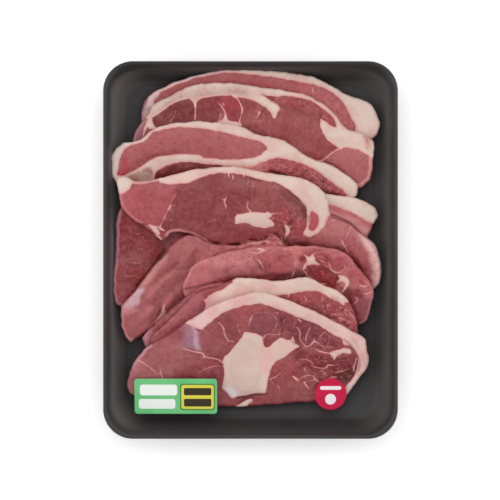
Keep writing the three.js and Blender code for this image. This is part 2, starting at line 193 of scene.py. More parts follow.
def smooth_line(points, closed=False, steps=4):
    """A finer run of points on a smooth line through the given ones."""
    count = len(points)
    if count < 3:
        return points
    made = []
    for i in range(count if closed else count - 1):
        around = range(i - 1, i + 3)
        a, b, c, d = (points[k % count if closed else min(max(k, 0), count - 1)] for k in around)
        for t in np.arange(steps) / steps:
            made.append(0.5 * (
                2 * b + (c - a) * t + (2 * a - 5 * b + 4 * c - d) * t * t + (3 * b - 3 * c + d - a) * t ** 3
            ))
    if not closed:
        made.append(points[-1])
    return np.array(made)


def corner_arcs(half_x, half_y, radius, steps):
    """The four corner arcs of a rounded rectangle, anticlockwise from the back right one."""
    arcs = []
    for quarter, (side_x, side_y) in enumerate(((1, 1), (-1, 1), (-1, -1), (1, -1))):
        turn = (quarter + np.arange(steps + 1) / steps) * math.pi / 2
        x = side_x * (half_x - radius) + radius * np.cos(turn)
        y = side_y * (half_y - radius) + radius * np.sin(turn)
        arcs.append(np.stack([x, y], -1))
    return arcs


def ring_faces(levels, count):
    """The faces of a closed body of rings that follow each other, with a flat face at each end."""
    faces = [tuple(reversed(range(count)))]
    for low in range(0, (levels - 1) * count, count):
        high = low + count
        faces += [(low + i, low + (i + 1) % count, high + (i + 1) % count, high + i) for i in range(count)]
    return faces + [tuple(range((levels - 1) * count, levels * count))]


def tray_shell():
    """The foam sheet's two faces as one run of rounded rectangles, from foot over rim to floor."""
    half_x, half_y, corner, tighter, steps = 0.119, 0.1525, 0.024, 0.25, 5
    # Each knot of the cross section is an inset from the rim's edge and a height, in millimetres.
    outside = [(19, 0), (15.5, 0.6), (11.5, 4), (7, 13), (3.6, 23), (2.2, 28), (0.3, 29.2), (0, 30.4)]
    inside = [(0.7, 31.7), (1.9, 32), (3.1, 31.3), (4.4, 28.6), (7, 20), (10.6, 11), (14.2, 6), (19, 3.6)]
    section = np.maximum(smooth_line(np.array(outside + inside) / 1000, steps=steps), 0)
    along = np.linspace(0.04, 0.96, 24)[:, None]
    rings = []
    for inset, height in section:
        arcs = corner_arcs(half_x - inset, half_y - inset, corner - tighter * inset, 20)
        flat = []
        for arc, following in zip(arcs, arcs[1:] + arcs[:1]):
            flat += [arc, arc[-1] + (following[0] - arc[-1]) * along]
        flat = np.concatenate(flat)
        rings.append(np.c_[flat, np.full(len(flat), height)])
    rings = np.array(rings)
    x, y, z = np.moveaxis(rings, -1, 0)
    # The floor and the wall are never quite flat in pressed foam.
    wave = 0.00035 * np.sin(x * 31 + 1) * np.cos(y * 23) * np.clip(z / 0.02, 0, 1)
    rings[:, :, 2] += np.where(z > 0.002, wave, 0)
    shell = add_mesh("tray_shell", rings.reshape(-1, 3), ring_faces(*rings.shape[:2]), tray_foam())
    # The inner walls get a painted reflection, most at the long sides, and the back rim gets painted shade.
    inset = section[:, :1]
    inner = np.arange(len(section))[:, None] > steps * (len(outside) + 1)
    wall = np.clip((inset - 0.0045) / 0.003, 0, 1) * np.clip((0.0185 - inset) / 0.007, 0, 1) * inner
    side = np.clip((np.abs(x) / half_x - 0.7) / 0.25, 0, 1) * np.where(x < 0, 1.1, 0.6)
    back = np.clip((y / half_y - 0.9) / 0.06, 0, 1) * np.clip((0.0075 - inset) / 0.002, 0, 1)
    add_field(shell.data, "drawn", wall * side - 0.8 * back * (1 - wall))
    return shell


tray = tray_shell()
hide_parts("tray")
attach(tray, "root")


# The chops
# Ten chops sawn across a leg: dusky red muscles held in seams of fat, a fat rim at the back, and a sawn bone.
# Each was cut as one slab about 9 mm thick, and lies limp over the front of the chop behind it.

PITCH = 0.7  # millimetres between the points of a chop's grid
REACH = 8.0  # how far from a border, in millimetres, depths are still told apart


def blurred(field, width):
    """The field smoothed by a bell of that width in millimetres."""
    size = max(1, int(round(3 * width / PITCH)))
    bell = np.exp(-0.5 * (np.arange(-size, size + 1) * PITCH / width) ** 2)
    bell /= bell.sum()
    for axis in (0, 1):
        spread = [(size, size) if a == axis else (0, 0) for a in (0, 1)]
        padded = np.pad(field, spread, mode="edge")
        length = field.shape[axis]
        field = sum(weight * np.take(padded, range(k, k + length), axis) for k, weight in enumerate(bell))
    return field


def lumps(shape, size, seed):
    """Smooth random swells of about that size in millimetres, mostly within -1 to 1."""
    field = blurred(np.random.default_rng(seed).standard_normal(shape), size / 2.5)
    return field / (2 * field.std())


def soft_step(value, low, high):
    t = np.clip((value - low) / (high - low), 0, 1)
    return t * t * (3 - 2 * t)


def window(x, y, low, high):
    """The part of the grid between two corners."""
    rows = np.searchsorted(y[:, 0], (low[1], high[1]))
    columns = np.searchsorted(x[0], (low[0], high[0]))
    return slice(*rows), slice(*columns)


def way_from(a, b, px, py):
    """The way to each place from the nearest point between two ends, and how far along that point is."""
    edge = (b - a)[:2]
    t = np.clip(((px - a[0]) * edge[0] + (py - a[1]) * edge[1]) / max(edge @ edge, 1e-9), 0, 1)
    return px - a[0] - t * edge[0], py - a[1] - t * edge[1], t


def area_depth(x, y, flat, smooth=True):
    """Depth in millimetres inside a closed area, and less than 0 outside it."""
    line = np.reshape(np.array(flat, float), (-1, 2))
    if smooth:
        line = smooth_line(line, closed=True)
    depth = np.full(x.shape, -REACH)
    part = window(x, y, line.min(0) - REACH, line.max(0) + REACH)
    px, py = x[part], y[part]
    inside = np.zeros(px.shape, bool)
    nearest = np.full(px.shape, 1e9)
    for a, b in zip(line, np.roll(line, -1, axis=0)):
        if a[1] != b[1]:
            across = (b[0] - a[0]) * (py - a[1]) / (b[1] - a[1]) + a[0]
            inside ^= ((a[1] > py) != (b[1] > py)) & (px < across)
        dx, dy, _ = way_from(a, b, px, py)
        nearest = np.minimum(nearest, np.hypot(dx, dy))
    depth[part] = np.clip(np.where(inside, nearest, -nearest), -REACH, REACH)
    return depth


class Strokes:
    """Thin marks: how deep each point is in the nearest one, the way to it, its half width and its strength."""

    FAR = 4.0  # millimetres from a mark, where it no longer counts
    MARGIN = 5.0  # millimetres round a mark that are looked at

    def __init__(self, x, y, marks):
        self.x, self.y = x, y
        self.near = np.full(x.shape, -self.FAR)
        self.way = np.zeros((*x.shape, 3))
        self.show = np.zeros(x.shape)
        for strength, flat in marks:
            self.add(strength, flat)

    def add(self, strength, flat):
        line = smooth_line(np.reshape(np.array(flat, float), (-1, 3)))
        part = window(self.x, self.y, line.min(0)[:2] - self.MARGIN, line.max(0)[:2] + self.MARGIN)
        px, py = self.x[part], self.y[part]
        near, way, show = self.near[part], self.way[part], self.show[part]
        for a, b in zip(line, line[1:]):
            dx, dy, t = way_from(a, b, px, py)
            half = a[2] + t * (b[2] - a[2])
            inside = half - np.hypot(dx, dy)
            closer = inside > near
            near[closer] = inside[closer]
            way[closer] = np.stack([dx, dy, half], -1)[closer]
            show[closer] = strength


def solid_heights(node, x, y):
    """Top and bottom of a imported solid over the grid, and where it is."""
    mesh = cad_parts[node].data
    mesh.calc_loop_triangles()
    corners = np.array([v.co for v in mesh.vertices]) * 1000
    top, bottom = np.full(x.shape, np.nan), np.full(x.shape, np.nan)
    start = np.array([x[0, 0], y[0, 0]])
    for triangle in mesh.loop_triangles:
        a, b, c = corners[list(triangle.vertices)]
        area = (b[0] - a[0]) * (c[1] - a[1]) - (b[1] - a[1]) * (c[0] - a[0])
        if abs(area) < 1e-3:
            continue
        low = np.ceil((np.minimum(np.minimum(a, b), c)[:2] - start) / PITCH - 1e-6).astype(int)
        high = np.floor((np.maximum(np.maximum(a, b), c)[:2] - start) / PITCH + 1e-6).astype(int)
        if (high < low).any():
            continue
        part = (slice(low[1], high[1] + 1), slice(low[0], high[0] + 1))
        px, py = x[part], y[part]
        v = ((px - a[0]) * (c[1] - a[1]) - (py - a[1]) * (c[0] - a[0])) / area
        w = ((b[0] - a[0]) * (py - a[1]) - (b[1] - a[1]) * (px - a[0])) / area
        within = (v >= -1e-6) & (w >= -1e-6) & (v + w <= 1 + 1e-6)
        height = a[2] + v * (b[2] - a[2]) + w * (c[2] - a[2])
        field = top if area > 0 else bottom
        field[part] = np.where(within, height, field[part])
    return top, bottom, ~np.isnan(top) & ~np.isnan(bottom)


def crossings(field, x, y):
    """Points where the field passes 0 on the grid's lines."""
    found = []
    for axis in (0, 1):
        first = [slice(None)] * 2
        second = [slice(None)] * 2
        first[axis], second[axis] = slice(None, -1), slice(1, None)
        f, g = field[tuple(first)], field[tuple(second)]
        hit = (f > 0) != (g > 0)
        t = f[hit] / (f[hit] - g[hit])
        a, b = (np.stack([x[tuple(part)][hit], y[tuple(part)][hit]], -1) for part in (first, second))
        found.append(a + (b - a) * t[:, None])
    return np.concatenate(found)


def nearest_point(x, y, points, batch=3000):
    """For every grid point, the nearest of the points and its distance."""
    flat = np.stack([x.ravel(), y.ravel()], -1)
    best = np.zeros(len(flat), int)
    away = np.full(len(flat), 1e6)
    for start in range(0, len(flat), batch):
        part = slice(start, start + batch)
        squares = ((flat[part][:, None, :] - points[None]) ** 2).sum(-1)
        best[part] = squares.argmin(1)
        away[part] = np.sqrt(squares.min(1))
    return points[best].reshape(*x.shape, 2), away.reshape(x.shape)


def signed_distance(field, x, y):
    """Distance in millimetres to where the field passes 0, and less than 0 where the field is."""
    points = crossings(field, x, y)
    if len(points) == 0:
        return np.where(field > 0, REACH, -REACH)
    _, away = nearest_point(x, y, points)
    return np.clip(np.where(field > 0, away, -away), -REACH, REACH)


def flesh_tone(red, green, blue):
    """A lean colour as it should look: the moist surface's own soft reflection is taken off first."""
    reflection, least = 0.03, 0.004
    return (*[max(c - reflection, least) for c in colour(red, green, blue)[:3]], 1.0)


def raw_meat():
    """The finish of a cut face. The chop's own fields say where lean, fat, bone, threads and clefts are."""
    material, link, shader = new_material("raw_meat")
    place = link.node("ShaderNodeTexCoord", out="Object")
    field = link.field

    def inside_stroke(name):
        # The way to the middle is exact between grid points, and the plain depth drops false crossings.
        dx, dy, half = field(name + "_way", "Vector").parts()
        exact = half - link.maths("SQRT", dx * dx + dy * dy)
        return exact.least(field(name) + 0.45)

    flesh, waxy, grain_place = field("flesh", "Color"), field("waxy", "Color"), field("grain", "Vector")
    coarse, fat_depth, bone_depth, core_depth = field("coarse"), field("fat"), field("bone"), field("marrow")
    broad = link.noise(place, 60.0, 2.0)
    middle = link.noise(place, 260.0, 3.0, 0.6)
    fine = link.noise(place, 1300.0, 3.0, 0.6)
    crumb = link.noise(place, 330.0, 3.0, 0.6)
    fibre = link.noise(grain_place, 1.0, 3.0, 0.62)
    strand = link.noise(grain_place, 0.45, 2.0, 0.5)

    # Lean: dusky red, faintly mottled, streaked along the fibres in patches, and crumbly where it is torn.
    patchy = (broad - 0.5).step(-0.1, 0.12)
    mottle = (broad * 0.35 + middle * 0.65 - 0.5).step(-0.12, 0.16)
    lean = (mottle * 0.2).mix(flesh, flesh_tone(206, 126, 126))
    lean = ((0.5 - middle).step(0.0, 0.2) * 0.17).mix(lean, flesh_tone(96, 42, 46))
    lean = ((0.5 - fibre).step(0.02, 0.16) * 0.2 * patchy).clamp().mix(lean, flesh_tone(98, 42, 46))
    lean = ((strand - 0.54).step(0.0, 0.14) * 0.12 * patchy).clamp().mix(lean, flesh_tone(206, 130, 132))
    lean = ((fine - 0.54).step(0.0, 0.16) * 0.13).mix(lean, flesh_tone(214, 148, 146))
    lean = ((0.5 - crumb).step(0.0, 0.2) * coarse * 0.8).clamp().mix(lean, flesh_tone(112, 44, 48))
    lean = ((crumb - 0.53).step(0.0, 0.16) * coarse * 0.72).clamp().mix(lean, flesh_tone(214, 138, 136))

    # Threads of fat and skin between the muscles, pink at their edges.
    thread = inside_stroke("vein") - 0.15 + (middle - 0.5) * 1.1 + (fine - 0.5) * 0.5
    pale = thread.step(0.0, 0.7).mix(flesh_tone(205, 124, 123), colour(223, 174, 167))
    lean = (thread.step(-0.3, 0.22) * field("vein_show")).clamp().mix(lean, pale)

    # Fat: waxy cream, a little pinker where it meets the lean.
    fat_edge = fat_depth + (middle - 0.5) * 1.3 + (fine - 0.5) * 0.6
    is_fat = fat_edge.step(-0.45, 0.4)
    warm = (broad - 0.5 + (middle - 0.5) * 0.7).step(-0.12, 0.12)
    cream = (warm * 0.34).mix(waxy, colour(230, 209, 196))
    cream = ((0.49 - broad).step(0.0, 0.12) * 0.36).mix(cream, colour(214, 164, 158))
    fat = fat_edge.step(0.0, 2.1).mix(colour(221, 160, 155), cream)
    fat = ((0.46 - fine).step(0.0, 0.12) * 0.16).mix(fat, colour(186, 138, 130))
    fat = ((thread - 0.1).step(-0.3, 0.2) * field("vein_show") * 0.35).clamp().mix(fat, colour(232, 214, 200))
    look = is_fat.mix(lean, fat)

    # Bone: sawn cream with a pink rim, round a waxy tan core with a faint ring.
    bone_edge = bone_depth + (middle - 0.5) * 1.1 + (fine - 0.5) * 0.5
    is_bone = bone_edge.step(-0.3, 0.3)
    sawn = bone_edge.step(0.2, 1.8).mix(colour(222, 168, 162), waxy)
    sawn = ((middle - 0.5).step(0.0, 0.2) * 0.3).mix(sawn, colour(224, 192, 182))
    look = is_bone.mix(look, sawn)
    core_edge = core_depth + (middle - 0.5) * 0.9
    core = (broad * 0.6 + fine * 0.4).step(0.38, 0.62).mix(colour(212, 181, 172), colour(217, 189, 179))
    look = (core_edge.step(-0.6, 0.6) * 0.85).mix(look, core)
    ring = (1.0 - abs(core_edge + 0.3).step(0.0, 1.2)) * 0.4
    look = ring.mix(look, colour(196, 170, 156))

    # Clefts between muscles and folds are dark red and shaded.
    cleft = inside_stroke("cleft") + (middle - 0.5) * 0.9
    dark = (cleft.step(-1.1, 0.5) * field("cleft_show")).clamp()
    link.feed(shader.inputs["Base Color"], dark.mix(look, flesh_tone(80, 28, 30)))

    # Lean is moist in patches, most where it is torn. Fat and bone are drier and have no fibres.
    hard = is_fat.most(is_bone)
    link.feed(shader.inputs["Roughness"], 0.4 + (middle - 0.5) * 0.3 + hard * 0.1)
    wet = (broad - 0.5).step(-0.05, 0.14) * (1.0 - hard * 0.6) * (0.2 + coarse * 0.25)
    link.feed(shader.inputs["Coat Weight"], wet)
    shader.inputs["Coat Roughness"].default_value = 0.2
    shader.inputs["Specular IOR Level"].default_value = 0.35
    fibres = (fibre * 0.5 + strand * 0.5) * (1.0 - hard) * 0.7
    relief = fibres + fine * 0.25 + middle * 0.5 + crumb * coarse * 2.2
    link.feed(shader.inputs["Normal"], link.bump(0.55, 0.0006, relief))
    return material


meat = raw_meat()
lean_pieces = []


def read_all(items, key, kind, width=1):
    """One property of all the points, corners, edges or faces of a mesh."""
    values = np.zeros(len(items) * width, kind)
    items.foreach_get(key, values)
    return values.reshape(-1, width) if width > 1 else values


def quad_mesh(name, points, faces):
    mesh = bpy.data.meshes.new(name)
    mesh.vertices.add(len(points))
    mesh.vertices.foreach_set("co", points.astype(np.float32).ravel())
    mesh.loops.add(faces.size)
    mesh.loops.foreach_set("vertex_index", faces.astype(np.int32).ravel())
    mesh.polygons.add(len(faces))
    mesh.polygons.foreach_set("loop_start", np.arange(0, faces.size, 4, dtype=np.int32))
    mesh.update(calc_edges=True)
    mesh.polygons.foreach_set("use_smooth", np.ones(len(faces), bool))
    return mesh


def sharpen(mesh, edges, ends):
    """Makes the given edges sharp where both their ends are among the given points."""
    pairs = np.sort(read_all(mesh.edges, "vertices", np.int32, 2), axis=1).astype(np.int64)
    edges = np.sort(edges, axis=1).astype(np.int64)
    codes, wanted = (p[:, 0] * len(mesh.vertices) + p[:, 1] for p in (pairs, edges))
    mesh.edges.foreach_set("use_edge_sharp", np.isin(pairs, ends).all(1) & np.isin(codes, wanted))


def close_shell(name, cells, top, bottom, outer, fields):
    """One region of a chop as a closed shell: two sheets of the chosen cells, with walls round them."""
    rows, columns = top.shape[:2]
    total = rows * columns
    index = np.arange(total).reshape(rows, columns)
    corner = np.stack([index[:-1, :-1], index[:-1, 1:], index[1:, 1:], index[1:, :-1]], -1)[cells]
    edges = np.concatenate([corner[:, [k, (k + 1) % 4]] for k in range(4)])
    rim = edges[~np.isin(edges[:, 0] * total + edges[:, 1], edges[:, 1] * total + edges[:, 0])]
    used, on_rim = np.unique(corner), np.unique(rim)
    place, middle_place = np.full(total, -1), np.full(total, -1)
    place[used] = np.arange(len(used))
    middle_place[on_rim] = 2 * len(used) + np.arange(len(on_rim))
    top, bottom = top.reshape(-1, 3), bottom.reshape(-1, 3)
    # Each wall has one row of points halfway down, so that the chop's own edge is round.
    points = np.concatenate([top[used], bottom[used], 0.5 * (top[on_rim] + bottom[on_rim])]) / 1000
    walls, halfway = place[rim], middle_place[rim]
    below = walls + len(used)
    mesh = quad_mesh(name, points, np.concatenate([
        place[corner],
        (place[corner] + len(used))[:, ::-1],
        np.c_[halfway, walls[:, ::-1]],
        np.c_[below, halfway[:, ::-1]],
    ]))
    # A cut face between lean, fat and bone is sharp.
    inner = place[on_rim[~outer.ravel()[on_rim]]]
    sharpen(mesh, np.concatenate([walls, below]), np.concatenate([inner, inner + len(used)]))
    order = np.concatenate([used, used, on_rim])
    for key, values in fields.items():
        add_field(mesh, key, values.reshape(total, -1)[order])
    mesh.materials.append(meat)
    mesh.validate()
    return add_object(name, mesh)


def cell_means(field):
    return 0.25 * (field[:-1, :-1] + field[1:, :-1] + field[:-1, 1:] + field[1:, 1:])


def chop_grid(parts, margin=4):
    """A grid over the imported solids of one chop, in millimetres, with a margin round them."""
    boxes = [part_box(node) for nodes in parts.values() for node in nodes]
    low = np.min([b[0][:2] for b in boxes], 0) * 1000 - margin
    high = np.max([b[1][:2] for b in boxes], 0) * 1000 + margin
    lines = [(np.floor(a / PITCH) + np.arange(int((b - a) / PITCH) + 2)) * PITCH for a, b in zip(low, high)]
    return np.meshgrid(*lines)


def read_slab(parts, x, y):
    """Where each kind of solid is, where any is, and the slab's top and bottom, carried on past them."""
    masks, tops, bottoms = {}, np.zeros(x.shape), np.zeros(x.shape)
    for kind, nodes in parts.items():
        masks[kind] = np.zeros(x.shape)
        for node in nodes:
            top, bottom, there = solid_heights(node, x, y)
            masks[kind][there] = 1
            tops = np.where(there, top, tops)
            bottoms = np.where(there, bottom, bottoms)
    known = sum(masks.values()).clip(0, 1)
    # The facets are smoothed away. Past the solids, where nothing is within that width, a wider one is used.
    width, wide = 3.0, 9.0
    share, far = blurred(known, width) + 1e-6, blurred(known, wide) + 1e-9
    top, bottom = (
        np.where(share > 1e-3, blurred(face * known, width) / share, blurred(face * known, wide) / far)
        for face in (tops, bottoms)
    )
    return masks, known, top, bottom


def chop_outline(known, x, y, seed, nicks):
    """A field that is over 0 inside the chop. Its edge is a little uneven, as limp meat is."""
    def of_nine(pick, field):
        return pick.reduce([np.roll(field, (i, j), (0, 1)) for i in (-1, 0, 1) for j in (-1, 0, 1)])

    # The narrow gaps between lean, fat and bone are closed first.
    filled = of_nine(np.minimum, of_nine(np.maximum, known))
    uneven = 0.12 * lumps(x.shape, 8, seed) + 0.08 * lumps(x.shape, 3.5, seed + 11)
    outline = blurred(filled, 1.2) - 0.3 + uneven.clip(-0.2, 0.2)
    for area in nicks:
        outline = np.minimum(outline, -area_depth(x, y, area) * 0.3)
    return outline


def cut_edge(outline, x, y):
    """The cells inside the outline, its edge points, every point's place and how deep inside it is."""
    snapped, away = nearest_point(x, y, crossings(outline, x, y))
    chosen = cell_means(outline) > 0
    touching = np.zeros(x.shape, int)
    for i in (0, 1):
        for j in (0, 1):
            touching[i:x.shape[0] - 1 + i, j:x.shape[1] - 1 + j] += chosen
    outer = (touching > 0) & (touching < 4)
    places = np.where(outer[:, :, None], snapped, np.stack([x, y], -1))
    return chosen, outer, places, np.where(outer | (outline <= 0), 0, away)


def layer_depths(masks, known, x, y, seed, fat, lean, bone):
    """Each kind's share of every point, and how deep each point is inside the fat, the bone and its core."""
    whole = blurred(known, 0.9) + 1e-6
    shares = {kind: blurred(mask, 0.9) / whole for kind, mask in masks.items()}
    depths = {kind: np.full(x.shape, -REACH) for kind in ("fat", "bone", "marrow")}
    if "fat" in shares:
        ragged = 0.18 * lumps(x.shape, 8, seed + 20) + 0.14 * lumps(x.shape, 3.5, seed + 21)
        depths["fat"] = signed_distance(shares["fat"] - 0.5 + ragged, x, y) - 0.4
    if "bone" in shares:
        depths["bone"] = signed_distance(shares["bone"] + shares.get("marrow", 0) - 0.5, x, y)
    if "marrow" in shares:
        depths["marrow"] = signed_distance(shares["marrow"] - 0.5, x, y)
    for area in lean:
        depths["fat"] = np.minimum(depths["fat"], -area_depth(x, y, area))
    for area in fat:
        depths["fat"] = np.maximum(depths["fat"], area_depth(x, y, area))
    for area in bone:
        depths["bone"] = area_depth(x, y, area, smooth=False)
    return shares, depths


def soft_area(x, y, softness, area):
    """1 inside the area and 0 outside, with a soft edge."""
    return soft_step(area_depth(x, y, area), -softness, softness)


def tinted(ground, tint, amount):
    """The ground's colour, taken towards the tint by that amount at each point."""
    amount = amount[:, :, None]
    return ground * (1 - amount) + np.array(tint) * amount


def painted(first, areas, tone, x, y):
    """A field of one colour with softly edged tints laid over it in turn."""
    ground = np.tile(np.array(first), (*x.shape, 1))
    for tint, softness, area in areas:
        ground = tinted(ground, tone(*tint), soft_area(x, y, softness, area))
    return ground


def fibre_field(x, y, seed, grain):
    """A place for the fibre noise: long along the grain, narrow across it and its own for each chop."""
    angle = math.radians(grain) + 0.35 * lumps(x.shape, 40, seed + 7)
    along = x * np.cos(angle) + y * np.sin(angle)
    across = -x * np.sin(angle) + y * np.cos(angle)
    return np.stack([along * 0.16, across * 1.15, np.full(x.shape, seed * 7.3)], -1)


def muscle_relief(seed, depths, veins, folds, crumbs):
    """Muscles swell between their seams, clefts sink, threads stand up a little, and torn meat is rough."""
    border = np.minimum(np.abs(depths["fat"]), np.abs(depths["bone"]))
    border = np.minimum(border, np.maximum(-veins.near, 0) + 2.0 * (1 - veins.show))
    relief = 0.3 - np.exp(-border / 5.0) - 0.8 * folds.show * soft_step(folds.near, -1.4, 0.2)
    relief += 0.2 * lumps(crumbs.shape, 14, seed + 1) + 0.1 * lumps(crumbs.shape, 5, seed + 2)
    relief += crumbs * 0.35 * lumps(crumbs.shape, 2.6, seed + 3)
    return relief + 0.2 * veins.show * soft_step(veins.near, -0.6, 0.4)


def edge_drop(depth, radius):
    """How far a rounded edge falls away at each depth."""
    return radius * (1 - np.sqrt(1 - (1 - np.clip(depth / radius, 0, 1)) ** 2))


def lay_chop(
    name, seed, parts, base, grain=0.0, tints=(), fat=(), lean=(), bone=(), waxes=(), threads=(), clefts=(),
    coarse=(), rims=(), crumple=0.0, nicks=(),
):
    """Dresses one packed chop: reads its slab, rounds its edge, swells its muscles and lays its fields.

    An outline is X, Y, X, Y and so on in millimetres. A line is X, Y and half the width for each point.
    - base: the colour of the lean, as on the screen. grain: the way of its fibres, in degrees.
    - tints, waxes: (colour, softness of the edge, outline) of patches on the lean, and on the fat and bone.
    - fat, lean, bone: outlines that redraw the borders between them.
    - threads, clefts: (strength, line). coarse: (amount, softness of the edge, outline) of torn meat.
    - rims: (colour, width, line) of the strip of edge where the line runs.
    - nicks: outlines cut from the edge.
    - crumple: how far the limp face is crumpled, in its relief and in the painted light and shade of its colour.
    """
    x, y = chop_grid(parts)
    masks, known, top, bottom = read_slab(parts, x, y)
    chosen, outer, places, depth = cut_edge(chop_outline(known, x, y, seed, nicks), x, y)
    shares, depths = layer_depths(masks, known, x, y, seed, fat, lean, bone)

    # The drawn areas are given a wandering edge.
    sway_x, sway_y = (
        0.7 * lumps(x.shape, 3.5, seed + 50 + k) + 1.1 * lumps(x.shape, 9, seed + 60 + k) for k in (0, 1)
    )
    drawn = x + sway_x, y + sway_y
    veins, folds = Strokes(x, y, threads), Strokes(x, y, clefts)
    shown = veins.show * np.clip(0.88 + 0.4 * lumps(x.shape, 6, seed + 41), 0.45, 1)
    flesh = painted(flesh_tone(*base), tints, flesh_tone, *drawn)
    for tint, width, line in rims:
        strip = soft_step(width + 0.9 + 0.3 * sway_x - depth, -0.5, 0.6)
        flesh = tinted(flesh, flesh_tone(*tint), strip * soft_step(Strokes(x, y, [(1, line)]).near, -4, -2.5))
    # A limp face is crumpled: its relief swells and sinks, and its colour is lightened on the ridges as painted light
    # and darkened in the hollows as painted shade.
    dents = lumps(x.shape, 6, seed + 4) * 0.7 + lumps(x.shape, 3, seed + 5) * 0.3
    flesh[:, :, :3] *= 1 + 0.3 * crumple * dents[:, :, None].clip(-1.5, 1.5)
    crumbs = np.zeros(x.shape)
    for amount, softness, area in coarse:
        crumbs = np.maximum(crumbs, amount * soft_area(*drawn, softness, area))
    fields = {
        **depths, "coarse": crumbs, "grain": fibre_field(x, y, seed, grain), "flesh": flesh,
        "waxy": painted(colour(217, 188, 177), waxes, colour, *drawn),
        "vein": veins.near, "vein_way": veins.way, "vein_show": shown,
        "cleft": folds.near, "cleft_way": folds.way, "cleft_show": folds.show,
    }

    relief = muscle_relief(seed, depths, veins, folds, crumbs) + crumple * 0.7 * dents
    round_top, round_bottom, thinnest = 2.6, 1.8, 0.4
    top = top + relief * soft_step(depth, 0.0, 3.0) - edge_drop(depth, round_top)
    bottom = np.minimum(bottom + edge_drop(depth, round_bottom), top - thinnest)
    sheets = [np.dstack([places, height]) for height in (top, bottom)]
    owner = np.argmax([cell_means(shares[kind]) for kind in parts], axis=0)
    for k, (kind, nodes) in enumerate(parts.items()):
        piece = close_shell(f"{name}_{kind}_dressed", chosen & (owner == k), *sheets, outer, fields)
        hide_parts(*nodes)
        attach(piece, "root")
        if kind == "lean":
            lean_pieces.append(piece)


# The chop at the back: a pale pink band of muscle under a thin rim, ending in a big lump of fat on the right.
lay_chop(
    "chop_01", 1, {"lean": ["chop_01_lean"], "fat": ["chop_01_fat"]}, (169, 92, 94), grain=8,
    tints=[
        ((188, 108, 111), 5, [40, 134, 60, 128, 72, 118, 80, 104, 82, 96, 74, 98, 60, 115, 40, 122]),
        # Painted shade: darker towards the lower edge, where it dips under the second chop's fat.
        ((158, 86, 88), 3, [-78, 118, -60, 127, -40, 133, -10, 136, -10, 130, -60, 122]),
        ((176, 138, 150), 1.5, [
            -81, 128, -86, 122, -89.5, 112, -90, 104, -86, 104, -85, 112, -82, 120, -78, 127,
        ]),
        ((228, 196, 192), 1.4, [
            -81, 127, -74, 130, -72, 130.5, -76, 124.5, -79, 120, -79, 108, -85, 107, -86, 114, -84, 121,
        ]),
        ((192, 158, 150), 1.5, [-85, 116, -80, 116, -79, 108, -86, 106]),
    ],
    lean=[
        [
            -40, 142, -24, 143.6, -12, 143.7, 0, 142.3, 10, 141.3, 20, 139.5, 35, 136.3, 50, 134.4, 58, 132.6,
            64, 129.6, 70, 125.6, 75, 120.6, 79, 114, 82, 107.6, 85, 102.6, 85.4, 100, 84.8, 97.4, 80, 96.2,
            77, 98, 72, 105, 60, 112, 40, 125, 0, 135, -30, 138,
        ],
    ],
    threads=[
        (0.9, [50.2, 132, 0.5, 50.6, 130, 0.8, 51.2, 128, 0.4]),
        (0.5, [-22, 142, 0.4, -20, 140.6, 0.4, -18, 139, 0.3]),
        (0.5, [60, 118, 0.5, 64, 115, 0.5]),
        (0.6, [82, 106, 0.4, 82.5, 103, 0.7]),
        (0.4, [-88, 112, 0.5, -88, 106, 0.6]),
    ],
    clefts=[(0.35, [49, 124, 0.4, 49.5, 126, 0.4])],
    coarse=[(0.5, 3, [52, 132, 66, 124, 80, 108, 84, 98, 77, 98, 62, 112, 50, 124])],
    rims=[
        ((238, 198, 196), 1.5, [
            -77, 128, 1, -70, 132.8, 1, -60, 136.4, 1, -50, 141.2, 1, -35, 143.4, 1, -18, 145.5, 1,
        ]),
    ],
    waxes=[((206, 178, 164), 3, [0, 147, 40, 142, 60, 135, 60, 133, 30, 139, 0, 143])],
)

